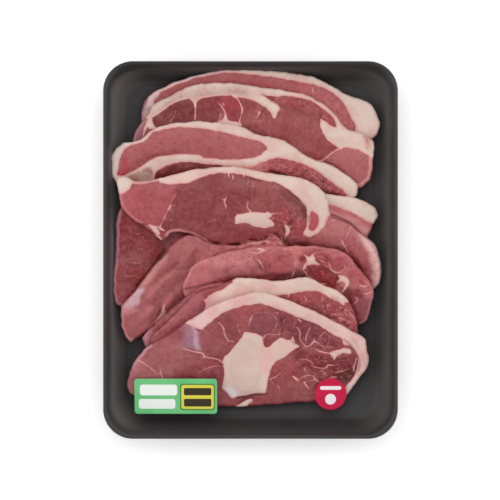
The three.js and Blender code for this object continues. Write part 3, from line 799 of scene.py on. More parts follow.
# The second chop: three round dark muscles on the left, one big one, and a wedge and lobe of fat at the right.
lay_chop(
    "chop_02", 2, {"lean": ["chop_02_lean"], "fat": ["chop_02_fat"]}, (149, 75, 77), grain=70,
    tints=[
        ((150, 96, 100), 2, [-83, 108, -88, 106, -98, 88, -92, 80, -87, 92, -84, 101]),
        ((130, 66, 70), 1.2, [-84, 98.5, -77, 99, -76, 97, -87, 90]),
        ((115, 55, 58), 2, [
            -79, 105, -72, 112, -60, 121, -50, 123, -46, 119, -45, 106, -55, 102, -65, 102, -76, 99,
        ]),
        ((134, 66, 69), 1.5, [-44, 121, -35, 125, -26, 125, -24, 118, -26, 110, -27, 102, -43, 104]),
        ((158, 70, 76), 1.5, [-26, 121, -20, 126, -13, 125, -9, 120, -8, 114, -20, 114]),
        ((144, 61, 68), 2, [-20, 114, -8, 113, -9, 105, -18, 106, -20, 110]),
        ((156, 76, 80), 1.8, [
            12, 125.5, 24, 125, 38, 124, 50, 121, 60, 114, 66, 110, 70, 101, 65, 101, 57, 108, 46, 113, 26,
            117,
        ]),
        ((134, 62, 66), 4, [-6, 104, 4, 98, 20, 92, 30, 88, 10, 88, -4, 92]),
        ((178, 104, 107), 2, [
            72, 82, 78, 84, 84, 83, 92, 79.5, 98, 73, 98, 60, 90, 50, 78, 55, 64, 70, 61, 73,
        ]),
    ],
    fat=[
        [-50, 124, -46.4, 120, -45.7, 117, -44, 117, -43, 120.5, -39, 124.6],
        [
            -20.8, 109, -19.6, 109, -18, 105.6, -14, 104.3, -10, 103.8, -9, 99, -26, 99, -26.8, 103.4, -24,
            105.2, -22, 106.4,
        ],
        [
            -81.5, 108.6, -80, 107, -79.3, 103.5, -77, 99.6, -75.5, 98.2, -79, 98.2, -82.6, 98.6, -84.6, 102,
            -83.4, 106,
        ],
        [57, 106.8, 59, 105, 62, 103, 65, 101, 68, 99.3, 72, 98, 70, 90, 64, 88, 60, 93, 57.4, 98, 56.6, 102],
        [
            0, 124, 8, 125.8, 12, 124.4, 15, 121.8, 18, 119.4, 21.6, 118.4, 23.7, 115.4, 22.4, 112, 20.6,
            107.4, 18.6, 107, 17, 110, 16.2, 112.6, 10, 117, 0, 122.4,
        ],
    ],
    lean=[
        [
            9, 126, 14, 125, 24, 124.4, 34, 124.2, 42, 123, 50, 120.6, 58, 115, 64, 110.6, 68, 106, 69.4, 100,
            64, 101.6, 58, 107, 52, 105, 40, 112, 26, 112, 24.6, 116, 22.6, 119.2, 18, 120.4, 14, 123,
        ],
        [-60, 119.6, -50, 122.2, -46.6, 118, -47, 112, -62, 112],
        [-42, 118, -38, 122.8, -30, 124.2, -20, 125, -13, 124.2, -14, 112, -42, 112],
        [-8, 116, -9, 123.4, 0, 121.6, 8, 117.4, 14, 113, 10, 108, -4, 108],
    ],
    threads=[
        (1, [-44.8, 119, 1, -44.7, 113, 0.75, -44.9, 106, 0.6]),
        (1, [-27, 121, 0.3, -24, 116.8, 0.5, -22, 114.4, 0.6, -20.6, 111.6, 0.8, -20.3, 107, 1]),
        (0.8, [-22.6, 118.8, 0.5, -21.4, 117.4, 0.5]),
        (0.9, [-25.9, 104, 0.8, -25, 107, 0.6, -24.2, 109.6, 0.5, -25.2, 111, 0.3]),
        (1, [
            -14, 125, 1.1, -11, 123, 0.85, -9, 120, 0.75, -7.6, 117, 0.85, -6.7, 114.4, 0.95, -7.1, 111.6,
            0.7, -8, 108, 0.5, -8.9, 104.4, 0.7, -8, 101, 1,
        ]),
        (0.6, [-64, 113, 0.3, -63.6, 110, 0.35]),
        (0.6, [-61.4, 110.6, 0.3, -60.4, 113, 0.35]),
        (0.6, [-63.8, 105.6, 0.5, -61.8, 109, 0.35]),
        (0.35, [-66, 108, 0.3, -65, 104, 0.3]),
        (1, [-84, 102, 1.3, -85.6, 98, 1.2, -86.6, 95, 0.9, -87.4, 91, 0.5]),
        (1, [7.6, 112.6, 0.5, 7.2, 111, 1, 6.2, 109.4, 0.5, 5.4, 107, 0.35]),
        (1, [
            74, 83, 1.4, 70, 81.2, 0.9, 67, 79.2, 0.85, 64, 77, 0.9, 61, 74.6, 1, 58.6, 72.6, 1.3, 55, 72,
            1.2, 51, 73, 1, 48, 75, 0.7,
        ]),
    ],
    clefts=[
        (0.4, [12, 115.4, 0.7, 9.6, 112, 0.5, 8.6, 109, 0.3]),
        (0.3, [9, 126, 0.3, 13, 124.6, 0.7, 16, 121.4, 0.7, 20, 119.2, 0.4]),
        (0.22, [22, 117.4, 0.6, 30, 115.6, 1, 38, 113.4, 0.9, 45, 110, 1.1, 50, 108.6, 0.6]),
        (0.3, [56, 111, 0.8, 57.4, 107.4, 0.7]),
        (0.45, [60, 71.8, 0.4, 66, 70, 0.4, 71, 67, 0.5, 76, 63.4, 0.3]),
        (0.3, [91.4, 92, 0.5, 93.6, 90, 0.9, 94.6, 87, 0.5]),
        (0.35, [-27, 112, 0.4, -25, 105.4, 0.4]),
    ],
    coarse=[
        (0.6, 1.5, [
            14, 125, 38, 124, 50, 121, 60, 114, 66, 110, 70, 101, 64, 102, 57, 109, 46, 114, 26, 118,
        ]),
        (0.5, 2, [60, 76, 70, 80, 74, 76, 66, 70]),
        (0.35, 2, [0, 112, 12, 114, 20, 106, 10, 100, 0, 102]),
    ],
    rims=[
        ((226, 150, 150), 2.4, [98, 72, 1, 98.5, 66, 1, 96, 59, 1, 91, 54, 1]),
        ((168, 120, 130), 1.6, [-96, 87, 1, -92, 96, 1, -87, 105, 1]),
    ],
    waxes=[
        ((186, 145, 137), 5, [
            -84, 112, -70, 120, -50, 130, -20, 133, -5, 132, -5, 124, -40, 122, -66, 113, -80, 104,
        ]),
        ((224, 176, 170), 3, [30, 129, 50, 124, 62, 117, 70, 106, 66, 104, 56, 114, 40, 121]),
        ((222, 186, 168), 2.5, [90, 94, 99, 93, 99, 82, 93, 84]),
        ((200, 146, 124), 1.4, [92.4, 92, 96.6, 90, 97.6, 84, 96, 80, 93.6, 85]),
        ((196, 166, 152), 2, [-27, 101, -26, 105, -21, 107, -19, 101]),
    ],
)

# The third chop: a long pink muscle ringed by fat, over a sliver darkened with painted shade, and a coarse red muscle
# on the right.
lay_chop(
    "chop_03", 3, {"lean": ["chop_03_lean", "chop_03_lean_upper"], "fat": ["chop_03_fat"]}, (171, 95, 98),
    grain=2,
    tints=[
        # Painted shade: the sliver under the pink muscle's fat is darkened.
        ((108, 52, 54), 1.6, [-86, 54, -77, 63, -60, 71.5, -40, 70.5, -15, 68, -4, 62, -60, 52]),
        ((170, 88, 92), 2.5, [8, 72, 20, 77, 43, 72, 63, 61, 84, 44, 80, 36, 40, 40, 8, 60]),
        ((136, 66, 70), 2.5, [14, 64, 28, 61, 46, 57, 60, 49, 74, 45, 60, 40, 10, 58]),
        ((172, 72, 78), 1.8, [-108, 60, -105, 70, -101, 76, -98, 70, -99, 62, -104, 59]),
        ((206, 128, 124), 3, [-4, 70, 4, 73, 13, 71, 14, 65, 6, 63, -2, 64]),
        ((150, 78, 82), 2, [-98, 70, -80, 78, -60, 80.5, -60, 78, -80, 74, -97, 64]),
    ],
    lean=[
        [
            -103, 60.5, -97, 63, -90, 67, -85, 70.5, -80, 75, -75, 76, -65, 76.8, -60, 77.8, -45, 77.5, -40,
            76.5, -35, 74.5, -12, 73.8, 0, 75.5, 10, 79.5, 13.5, 82, 10, 86.5, 5, 88.5, -10, 92, -25, 95, -40,
            96.8, -47, 97.2, -50, 98.5, -55, 99.3, -62, 98.8, -68, 97.5, -78, 95.5, -82, 92, -85, 88, -90,
            86.5, -96, 85, -101, 82, -104, 78, -106, 72, -107, 66, -108, 61,
        ],
    ],
    threads=[
        (0.7, [2, 70, 0.5, 8, 68.6, 0.5, 13, 68, 0.4]),
        (0.7, [1, 65.6, 0.6, 6, 65, 0.6, 11, 64, 0.5]),
        (0.7, [12, 72, 0.6, 16, 71, 0.4]),
        (0.5, [22, 72, 0.5, 24, 70, 0.4]),
        (0.6, [27, 68, 0.7, 29.6, 66.6, 0.6]),
        (0.5, [33.6, 71, 0.5, 34.4, 68.4, 0.4]),
        (0.45, [36, 64, 0.4, 39, 62, 0.4]),
        (0.45, [50, 61, 0.5, 54, 58, 0.4]),
        (0.4, [60, 54, 0.4, 65, 50, 0.4]),
    ],
    clefts=[
        (0.8, [16, 64, 0.7, 21, 62.6, 0.9, 26, 61, 0.5, 31, 59.4, 0.5]),
        (0.5, [41, 59.6, 0.4, 44, 63, 0.6, 46.4, 64.4, 0.4]),
        (0.5, [32, 62.6, 0.6, 34, 61.6, 0.4]),
        (0.35, [10, 66.4, 0.8, 13, 66.4, 0.5]),
        (0.5, [52, 52, 0.4, 58, 48, 0.6, 66, 45.4, 0.5, 74, 44, 0.4]),
        (0.4, [-79, 76.2, 0.3, -74, 76.8, 0.3]),
        (0.5, [56, 57, 0.6, 59, 55, 0.5]),
    ],
    coarse=[(0.7, 2, [12, 73, 24, 75, 43, 72, 60, 62, 78, 49, 76, 44, 60, 47, 44, 57, 24, 62, 12, 66])],
    waxes=[
        ((148, 84, 72), 2, [-100, 60, -93, 62.4, -86, 66, -81, 67, -79, 61, -82, 57, -90, 55, -99, 53]),
        ((226, 168, 164), 2, [-98, 84, -104, 76, -107, 68, -108, 60, -103, 60, -101, 70, -97, 79]),
        ((214, 192, 190), 2.5, [-96, 90, -108, 82, -115, 68, -110, 62, -107, 74, -100, 82]),
    ],
)

# The fourth chop: mostly hidden. Plain lean shows on the left, a fat tip and two thin muscles on the right.
lay_chop(
    "chop_04", 4, {"lean": ["chop_04_lean"], "fat": ["chop_04_fat"]}, (136, 58, 64), grain=52, crumple=0.4,
    tints=[
        # Painted shade: this tint and the next darken the lean in the gaps beside the fifth and sixth chops.
        ((124, 44, 48), 4, [
            -70, 8, -66, -4, -80, -16, -92, -30, -98, -36, -102, -32, -92, -18, -82, -6, -76, 6,
        ]),
        ((126, 52, 58), 2, [-76, 18, -64, 2, -56, 12, -48, 16, -66, 22]),
        ((188, 110, 112), 3, [60, 38, 72, 36, 90, 27, 100, 22, 95, 8, 80, 16, 60, 24]),
        ((214, 150, 148), 2.4, [
            60, 34, 70, 30, 80, 27.4, 90, 21, 96, 16, 92, 13, 86, 18, 78, 24, 68, 28, 60, 30,
        ]),
    ],
    threads=[
        (0.6, [66, 32, 0.5, 74, 28.6, 0.5, 82, 25.4, 0.5, 90, 19, 0.4]),
        (0.3, [-97, 14.6, 0.4, -92, 13.2, 0.7, -88, 14, 0.4]),
        (0.3, [-94, 2, 0.4, -89, 0.8, 0.7, -84, 2.4, 0.4]),
        (0.3, [-98, -9.4, 0.4, -93, -10.6, 0.7, -88, -9.4, 0.4]),
        (0.25, [-102, -20.6, 0.4, -98, -21.4, 0.6, -94, -20.4, 0.4]),
    ],
    clefts=[
        (0.55, [66, 28.6, 0.4, 71, 26.8, 0.6, 77, 23.6, 0.7, 82, 20.8, 0.6, 87, 15.6, 0.6, 91, 11, 0.5]),
        # Painted shade in the gap beside the sixth chop.
        (0.6, [-92, -29, 0.7, -84, -20, 0.8, -76, -9, 0.8, -70, -1, 1.2]),
        (0.22, [-99, 13, 0.4, -93, 11, 0.8, -87, 12.4, 0.5]),
        (0.2, [-92, 20, 0.4, -85, 17.4, 0.8, -80, 17, 0.5]),
        (0.25, [-97, 1, 0.4, -90, -1.4, 0.8, -83, 0.6, 0.5]),
        (0.2, [-104, 5, 0.4, -100, 4, 0.7, -95, 5.4, 0.4]),
        (0.25, [-100, -11, 0.4, -94, -12.8, 0.8, -87, -11, 0.5]),
        (0.2, [-104, -22, 0.4, -99, -23.4, 0.8, -94, -22, 0.5]),
    ],
    rims=[((172, 116, 128), 2.2, [-108, 30, 1, -109, 10, 1, -110, -15, 1, -109, -40, 1, -103, -47, 1])],
    coarse=[(0.25, 4, [-106, 20, -80, 10, -84, -10, -96, -26, -108, -10])],
)

# The fifth chop, the widest: a bright muscle, a big dusky oval, a hook of fat, a flat bone and a limp flap.
lay_chop(
    "chop_05", 5,
    {"lean": ["chop_05_lean"], "fat": ["chop_05_fat", "chop_05_fat_left", "chop_05_fat_low"], "bone": ["chop_05_bone"]},
    (150, 80, 84), grain=20, crumple=0.15,
    tints=[
        ((170, 88, 92), 4, [
            -108, 48, -98, 50, -85, 55, -72, 55, -60, 53, -61, 43, -66, 34, -70, 26, -72, 18, -86, 16, -102,
            28,
        ]),
        ((180, 93, 98), 5, [-103, 44, -94, 46, -92, 36, -98, 30, -104, 36]),
        ((136, 69, 74), 2.5, [
            -61, 44, -58, 52, -48, 54, -40, 58, -30, 62, -10, 62, 2, 58, 3, 44, -1, 34, -12, 29, -14, 22, -20,
            8, -37, 8, -49, 15, -72, 15, -68, 29,
        ]),
        ((150, 82, 84), 2.5, [4, 57, 18, 54, 30, 45, 34, 36, 28, 32, 16, 34, 3, 36]),
        # Painted shade: the dark band along the inside of the fat hook.
        ((118, 62, 64), 2.5, [22, 54, 34, 46, 44, 38, 47, 28, 44, 26, 38, 34, 28, 42]),
        ((142, 82, 84), 2.5, [30, 38, 38, 36, 42, 28, 38, 22, 33, 26]),
        ((160, 78, 82), 2.5, [16, 27, 22, 30, 29, 34, 32, 29, 31, 22, 24, 20.5, 18, 22]),
        ((166, 84, 86), 2.4, [27, 33, 30, 30, 29.5, 24, 27, 26]),
        ((162, 78, 84), 3, [36, 24, 46, 22, 44, 12, 34, 12, 33, 20]),
        ((140, 68, 73), 3, [-14, 20, 4, 18, 20, 17, 26, 12, 10, 10, -14, 9]),
        ((186, 114, 117), 4, [58, 28, 76, 26, 90, 17, 88, 8, 70, 8, 56, 14]),
        ((168, 90, 94), 3, [72, 8, 90, 10, 96, -8, 88, -14, 80, -6]),
        # Painted shade: this tint and the next darken the flap's lower crease and the band along the lower edge, under
        # the next chop.
        ((126, 58, 62), 3, [76, 0, 84, -4, 94, -20, 100, -32, 90, -24, 78, -8]),
        ((96, 46, 50), 2.5, [28, 8, 40, 7.5, 60, 4, 76, 2, 78, -6, 60, -8, 28, -2]),
        ((182, 90, 97), 0.9, [
            49.4, 31.6, 53, 29.6, 55.2, 26, 54.8, 21, 53, 17.4, 50, 15.4, 47.4, 17, 47.3, 20, 48.6, 24, 48.2,
            28,
        ]),
        ((214, 126, 126), 1.6, [-8, 5.5, 4, 8, 12, 8, 16, 11, 22, 11, 28, 5, 24, 0, 0, -2]),
        ((242, 194, 188), 4, [90, 14, 97, 8, 104, -4, 107, -18, 105, -30, 100, -30, 99, -14, 93, 2, 88, 10]),
    ],
    fat=[[-83, 20.6, -78, 20, -76, 18.2, -74.4, 16, -73.6, 13.4, -75, 12, -77.6, 13.6, -80, 17]],
    lean=[
        [-92, 24, -80, 26, -68, 22, -66, 12, -70, 4, -80, 4, -92, 14],
        [
            49.4, 31.6, 53, 29.6, 55.2, 26, 54.8, 21, 53, 17.4, 50, 15.4, 47.4, 17, 47.3, 20, 48.6, 24, 48.2,
            28,
        ],
        [-60, 53.4, -50, 53.8, -44, 55.4, -38, 58, -30, 61, -20, 61.4, -8, 60.6, 0, 57.6, -10, 50, -40, 48],
    ],
    bone=[
        [
            -12.8, 26.5, -11, 28.8, -7, 29, -3, 29.8, 0, 30.6, 5, 30.5, 10, 30.2, 12.2, 30, 13.5, 31.4, 15.5,
            30, 17.5, 29, 16.8, 27, 14.5, 25.6, 17, 24, 19.3, 21.5, 18.8, 19, 16, 18.8, 12, 17.6, 8, 18.2, 4,
            18.8, 1, 20, -1.5, 21.3, -4, 22.2, -8, 22, -11, 20.8, -12.4, 21.2,
        ],
    ],
    threads=[
        (1, [
            -73.6, 18.6, 1, -71.6, 22, 0.6, -70, 25.4, 0.5, -68.4, 29, 0.6, -66.6, 32, 0.8, -65.4, 34.6, 1,
            -64.4, 38, 0.5, -62.4, 42, 0.5, -60.4, 45, 0.3,
        ]),
        (0.7, [-66.4, 35, 0.4, -69, 33, 0.25]),
        (0.7, [-64, 35.6, 0.35, -60, 37, 0.3]),
        (0.7, [-64.6, 33, 0.35, -62.8, 31.4, 0.25]),
        (1, [
            -98, 21.4, 0.4, -93, 20.7, 0.5, -88, 20, 0.6, -84.5, 19.3, 0.8, -82.4, 16.4, 0.8, -79, 13.2, 0.9,
            -75, 11, 1, -72, 8.4, 1.1, -69.4, 5.4, 1.2, -66.4, 3.8, 0.8,
        ]),
        (1, [-77, 19, 0.9, -74.4, 18.4, 0.9, -72.4, 17, 1.1, -70, 15.8, 0.8]),
        (0.9, [
            -21, 45, 0.3, -19.4, 43, 0.4, -20.6, 40.6, 0.9, -21, 38, 0.7, -19.8, 35.4, 0.8, -19.8, 33, 0.4,
        ]),
        (0.8, [-23.4, 41.6, 0.4, -20.6, 40.6, 0.6]),
        (0.5, [-18.6, 36, 0.3, -17.4, 39, 0.25]),
        (0.5, [-19, 45, 0.3, -17.6, 44, 0.3]),
        (0.6, [-35.6, 22.4, 0.4, -32, 23.3, 0.35, -28, 24.5, 0.3]),
        (0.5, [-64.6, 24.6, 0.6, -63, 23.8, 0.4]),
        (1, [-17.6, 62.6, 1.3, -17.5, 60, 0.6, -17, 59, 0.3]),
        (0.8, [-15, 60.6, 0.4, -13.8, 58.6, 0.8, -15, 56.4, 0.35]),
        (1, [-6, 62, 1.2, -5.5, 59.4, 0.7, -5.2, 57.6, 0.25]),
        (0.6, [-1, 57.4, 0.3, -2.2, 53.6, 0.55, -2, 50.4, 0.3]),
        (0.5, [1.4, 56, 0.4, 2, 52, 0.5, 1.2, 48, 0.4, 1, 44, 0.3]),
        (1, [-1.7, 39.6, 0.3, -2.5, 36.6, 0.6, -2.6, 34.5, 0.9, -1, 32.6, 0.9, 0.4, 30.8, 0.9]),
        (0.8, [16, 29, 1, 19, 29.4, 0.6, 22, 29.6, 0.4, 26, 30.6, 0.35]),
        (0.6, [17, 26.4, 0.7, 19, 25.6, 0.4]),
        (0.7, [40.8, 28, 0.4, 39.4, 25, 0.5, 38.4, 22.4, 0.3]),
        (0.8, [45.6, 20, 0.5, 46.6, 17, 0.7, 46, 14, 0.6]),
        (1, [72.4, 9, 0.4, 74.8, 6.6, 0.7, 76.4, 3, 0.6, 79, -1, 0.5, 80.8, -3.4, 0.3]),
        (0.8, [65, 23, 0.7, 68, 24.4, 0.8, 71, 24, 0.4]),
        (0.6, [81, 18.6, 0.7, 78.6, 13, 0.6, 76.8, 9, 0.4]),
        (0.5, [93, 12, 0.4, 96, 6, 0.8, 98.4, 0, 0.5]),
        (0.5, [99, 6, 0.5, 102.6, -2, 0.7, 103.6, -8, 0.4]),
        (0.5, [97, -4, 0.4, 100.6, -12, 0.8, 101, -20, 0.5]),
        (0.5, [104, -14, 0.5, 104, -22, 0.6, 101, -28, 0.4]),
        (0.8, [4, 6.4, 0.6, 8, 4.2, 0.9, 10, 1.4, 1]),
        (0.7, [14, 9.8, 0.5, 17, 7.4, 0.6, 21, 4.6, 0.5, 22.4, 2.8, 0.4]),
        (0.9, [22.6, 6.6, 0.4, 24.4, 4.6, 0.7]),
        (1, [27.6, 20.4, 0.6, 29.4, 18.4, 1.7, 30.4, 15.6, 1.9, 29.4, 12, 1.3, 28.2, 8.6, 0.6]),
        (0.8, [31, 17.6, 1, 33.4, 19.4, 0.4]),
        (1, [24, 2.6, 0.7, 26.4, 1.6, 1.1]),
        (0.6, [12, 3, 0.6, 17, 1.6, 0.5]),
        (0.5, [15, 12.6, 0.5, 20, 11.6, 0.4, 23, 9, 0.4]),
        (0.9, [-36.4, 6.6, 0.5, -35.4, 4.4, 0.7, -37.4, 2.2, 0.6]),
    ],
    clefts=[
        (0.4, [3.5, 49, 0.4, 3.6, 46, 0.7, 3.2, 42, 0.5]),
        (0.6, [0, 58.3, 0.4, 4, 57, 0.6, 8, 55.9, 0.4]),
        (0.6, [34, 24, 0.4, 32.6, 21.6, 0.9, 31, 20, 0.6]),
        (0.35, [25.4, 20.2, 0.8, 26, 17.4, 0.8, 27.6, 14.8, 0.6]),
        (0.75, [19.6, 13.4, 0.4, 24, 9.6, 0.6, 28, 5.6, 0.8]),
        (0.7, [29.6, 11, 0.4, 28.2, 7, 0.7]),
        (0.9, [-1, 8.2, 0.4, 4, 8, 0.6, 7.6, 6.6, 0.7, 10.6, 8, 0.7, 13, 10.4, 0.5]),
        (0.7, [18, 7, 0.3, 21.8, 4, 0.5]),
        (1, [-30, 5.8, 0.6, -27.6, 5.4, 0.9, -25.4, 5.2, 0.4]),
        (1, [-18, 3.4, 0.8, -14, 4, 1.3, -9, 4.8, 0.8]),
        (0.35, [80, -3, 0.8, 85, -9, 1.2, 90, -17, 1]),
        (0.4, [-47.6, 48.4, 0.4, -44.4, 47.2, 0.4]),
        (0.4, [-16, 39, 0.3, -13, 38, 0.4]),
        (0.5, [34, 44.6, 0.5, 38, 41.6, 0.6, 43, 37, 0.6, 45.4, 32, 0.5]),
        (0.5, [47.6, 23, 0.7, 47.2, 27, 0.5]),
        (0.4, [35, 18, 0.5, 33, 17, 0.6]),
        (0.4, [-34, 7.6, 0.4, -30, 5.6, 0.5]),
    ],
    coarse=[
        (0.75, 2.5, [15, 27, 20, 30, 28, 34, 33, 30, 34, 22, 28, 19, 18, 21]),
        (0.9, 2, [-8, 6, 4, 8, 16, 12, 26, 10, 29, 2, 20, -2, -6, -2]),
        (0.4, 3, [28, 36, 40, 34, 44, 20, 36, 12, 28, 8, 20, 14, 32, 22]),
        (0.6, 3, [92, 14, 106, 0, 108, -32, 98, -32, 96, 0]),
        (0.3, 4, [60, 22, 84, 16, 96, -4, 100, -30, 84, -12, 70, 0]),
    ],
    rims=[
        ((228, 170, 166), 1.5, [-97, 53, 1, -92, 54, 1, -85, 55, 1, -78, 55.6, 1, -74, 56, 1]),
        ((206, 128, 132), 1.2, [
            -106, 46, 1, -104.5, 40, 1, -103.5, 34, 1, -101, 29.5, 1, -97, 28, 1, -91, 24, 1,
        ]),
        ((218, 146, 144), 1.5, [
            -73, 17, 1, -68, 15.4, 1, -58, 14.9, 1, -48, 14.6, 1, -44, 12.4, 1, -38, 9, 1, -34, 6.2, 1, -28,
            4.2, 1, -21, 3.4, 1,
        ]),
        ((190, 160, 166), 1.2, [95, 10, 1, 100, 3, 1, 105, -8, 1, 106, -20, 1, 104, -32, 1]),
    ],
    waxes=[((222, 178, 172), 3, [-74, 57, -60, 61, -46, 64, -40, 60, -60, 53, -74, 53])],
)

# The sixth chop: a smooth pink face on the left, a scrap of silverskin and torn threads in the middle.
lay_chop(
    "chop_06", 6, {"lean": ["chop_06_lean"]}, (162, 92, 95), grain=48, crumple=0.4,
    tints=[
        ((172, 104, 106), 4, [-68, -8, -58, 10, -48, 14, -36, 8, -40, -8, -50, -18, -64, -20]),
        ((146, 80, 84), 5, [-80, -38, -66, -26, -56, -24, -54, -40, -66, -50, -80, -58]),
        ((184, 112, 114), 2, [-84, -35, -72, -22, -61, -12, -58, -14, -70, -27, -82, -39]),
        ((180, 106, 110), 2, [-72, -43, -60, -31, -52, -24, -50, -27, -60, -37, -71, -47]),
        ((184, 110, 114), 2, [-96, -60, -84, -46, -79, -48, -92, -64]),
        ((150, 80, 84), 2, [-78, -25, -66, -12, -60, -8, -58, -11, -68, -19, -78, -30]),
        ((150, 82, 85), 2, [-54, -14, -46, -10, -42, -2, -44, 2, -50, -6]),
        # Painted highlight along the upper-left edge.
        ((198, 132, 132), 1.8, [-90, -28, -80, -15, -70, -4, -66, -6, -76, -18, -84, -28]),
        ((206, 170, 176), 2, [
            -95, -33, -90, -30, -86, -32, -89, -38, -90, -43, -93, -45, -97, -49, -105, -48, -101, -42, -98,
            -38,
        ]),
        ((206, 134, 138), 2.5, [-104, -48, -92, -48, -92, -53, -104, -54]),
        ((168, 98, 100), 4, [-104, -54, -90, -52, -84, -62, -96, -74, -104, -66]),
        ((180, 104, 108), 3, [-40, 2, -20, 3, -8, 1, -10, -8, -30, -10, -42, -8]),
        ((186, 108, 110), 3, [-8, 6, 4, 7, 14, 12, 22, 10, 28, 4, 24, -2, 8, -3, -6, -2]),
    ],
    threads=[
        (0.8, [
            -70, -44, 0.5, -70.8, -48, 1.6, -70.6, -50.8, 1.9, -73, -53.8, 1.5, -75.4, -56.6, 1.1, -78, -58.8,
            0.5,
        ]),
        (0.6, [-54, -27, 0.4, -51, -21, 0.8, -47, -17, 0.8, -42.4, -11, 0.8, -38, -6, 0.6]),
        (0.5, [-40, -1, 0.4, -34, -2.4, 0.5, -29, -1, 0.4]),
        (0.6, [-36, 1, 0.5, -32, -4, 0.6, -28, -7, 0.4]),
        (0.5, [-30, 2, 0.4, -25, -2, 0.5]),
        (0.5, [-33, -9, 0.4, -31, -11, 0.6]),
        (0.8, [-6, 4.4, 0.4, 0, 5.2, 0.8, 5, 3.8, 0.5]),
        (0.9, [1, 6.6, 0.5, 6, 5.4, 1, 9.6, 6.8, 0.5]),
        (0.8, [10, 9.6, 0.4, 13.6, 6.8, 0.9, 18, 5.4, 0.5]),
        (0.9, [15, 12, 0.5, 19, 9.4, 0.9, 21.6, 6.6, 0.5]),
        (0.9, [21, 9, 0.4, 24, 6, 0.9, 27.4, 4.4, 0.6]),
        (0.6, [-104, -62, 0.4, -102, -68, 0.6, -99.6, -72, 0.6]),
        (0.5, [-18, -1, 0.6, -12, -2, 0.6]),
    ],
    clefts=[
        (0.25, [-59, -15.4, 0.8, -54, -15, 1.1, -49, -14.4, 1, -45, -12, 0.8]),
        (0.5, [-75.6, -54, 0.4, -74, -51, 0.7, -72.6, -48, 0.3]),
        (0.4, [-26, -3, 0.3, -22, -5, 0.5]),
    ],
    coarse=[
        (0.95, 2, [-10, 7, 4, 9, 16, 14, 26, 12, 31, 4, 22, -2, -6, -2]),
        (0.35, 3, [-40, 4, -10, 6, 0, 0, -10, -10, -40, -10]),
        (0.15, 5, [-100, -60, -80, -30, -60, 0, -50, -20, -76, -60]),
    ],
    nicks=[[-98, -76.6, -95.6, -73.8, -92, -71.6, -88, -69, -84, -65.6, -80, -66, -80, -82, -98, -82]],
    rims=[((204, 140, 144), 1.4, [-107, -48, 1, -105, -58, 1, -103, -66, 1, -99, -74, 1])],
)
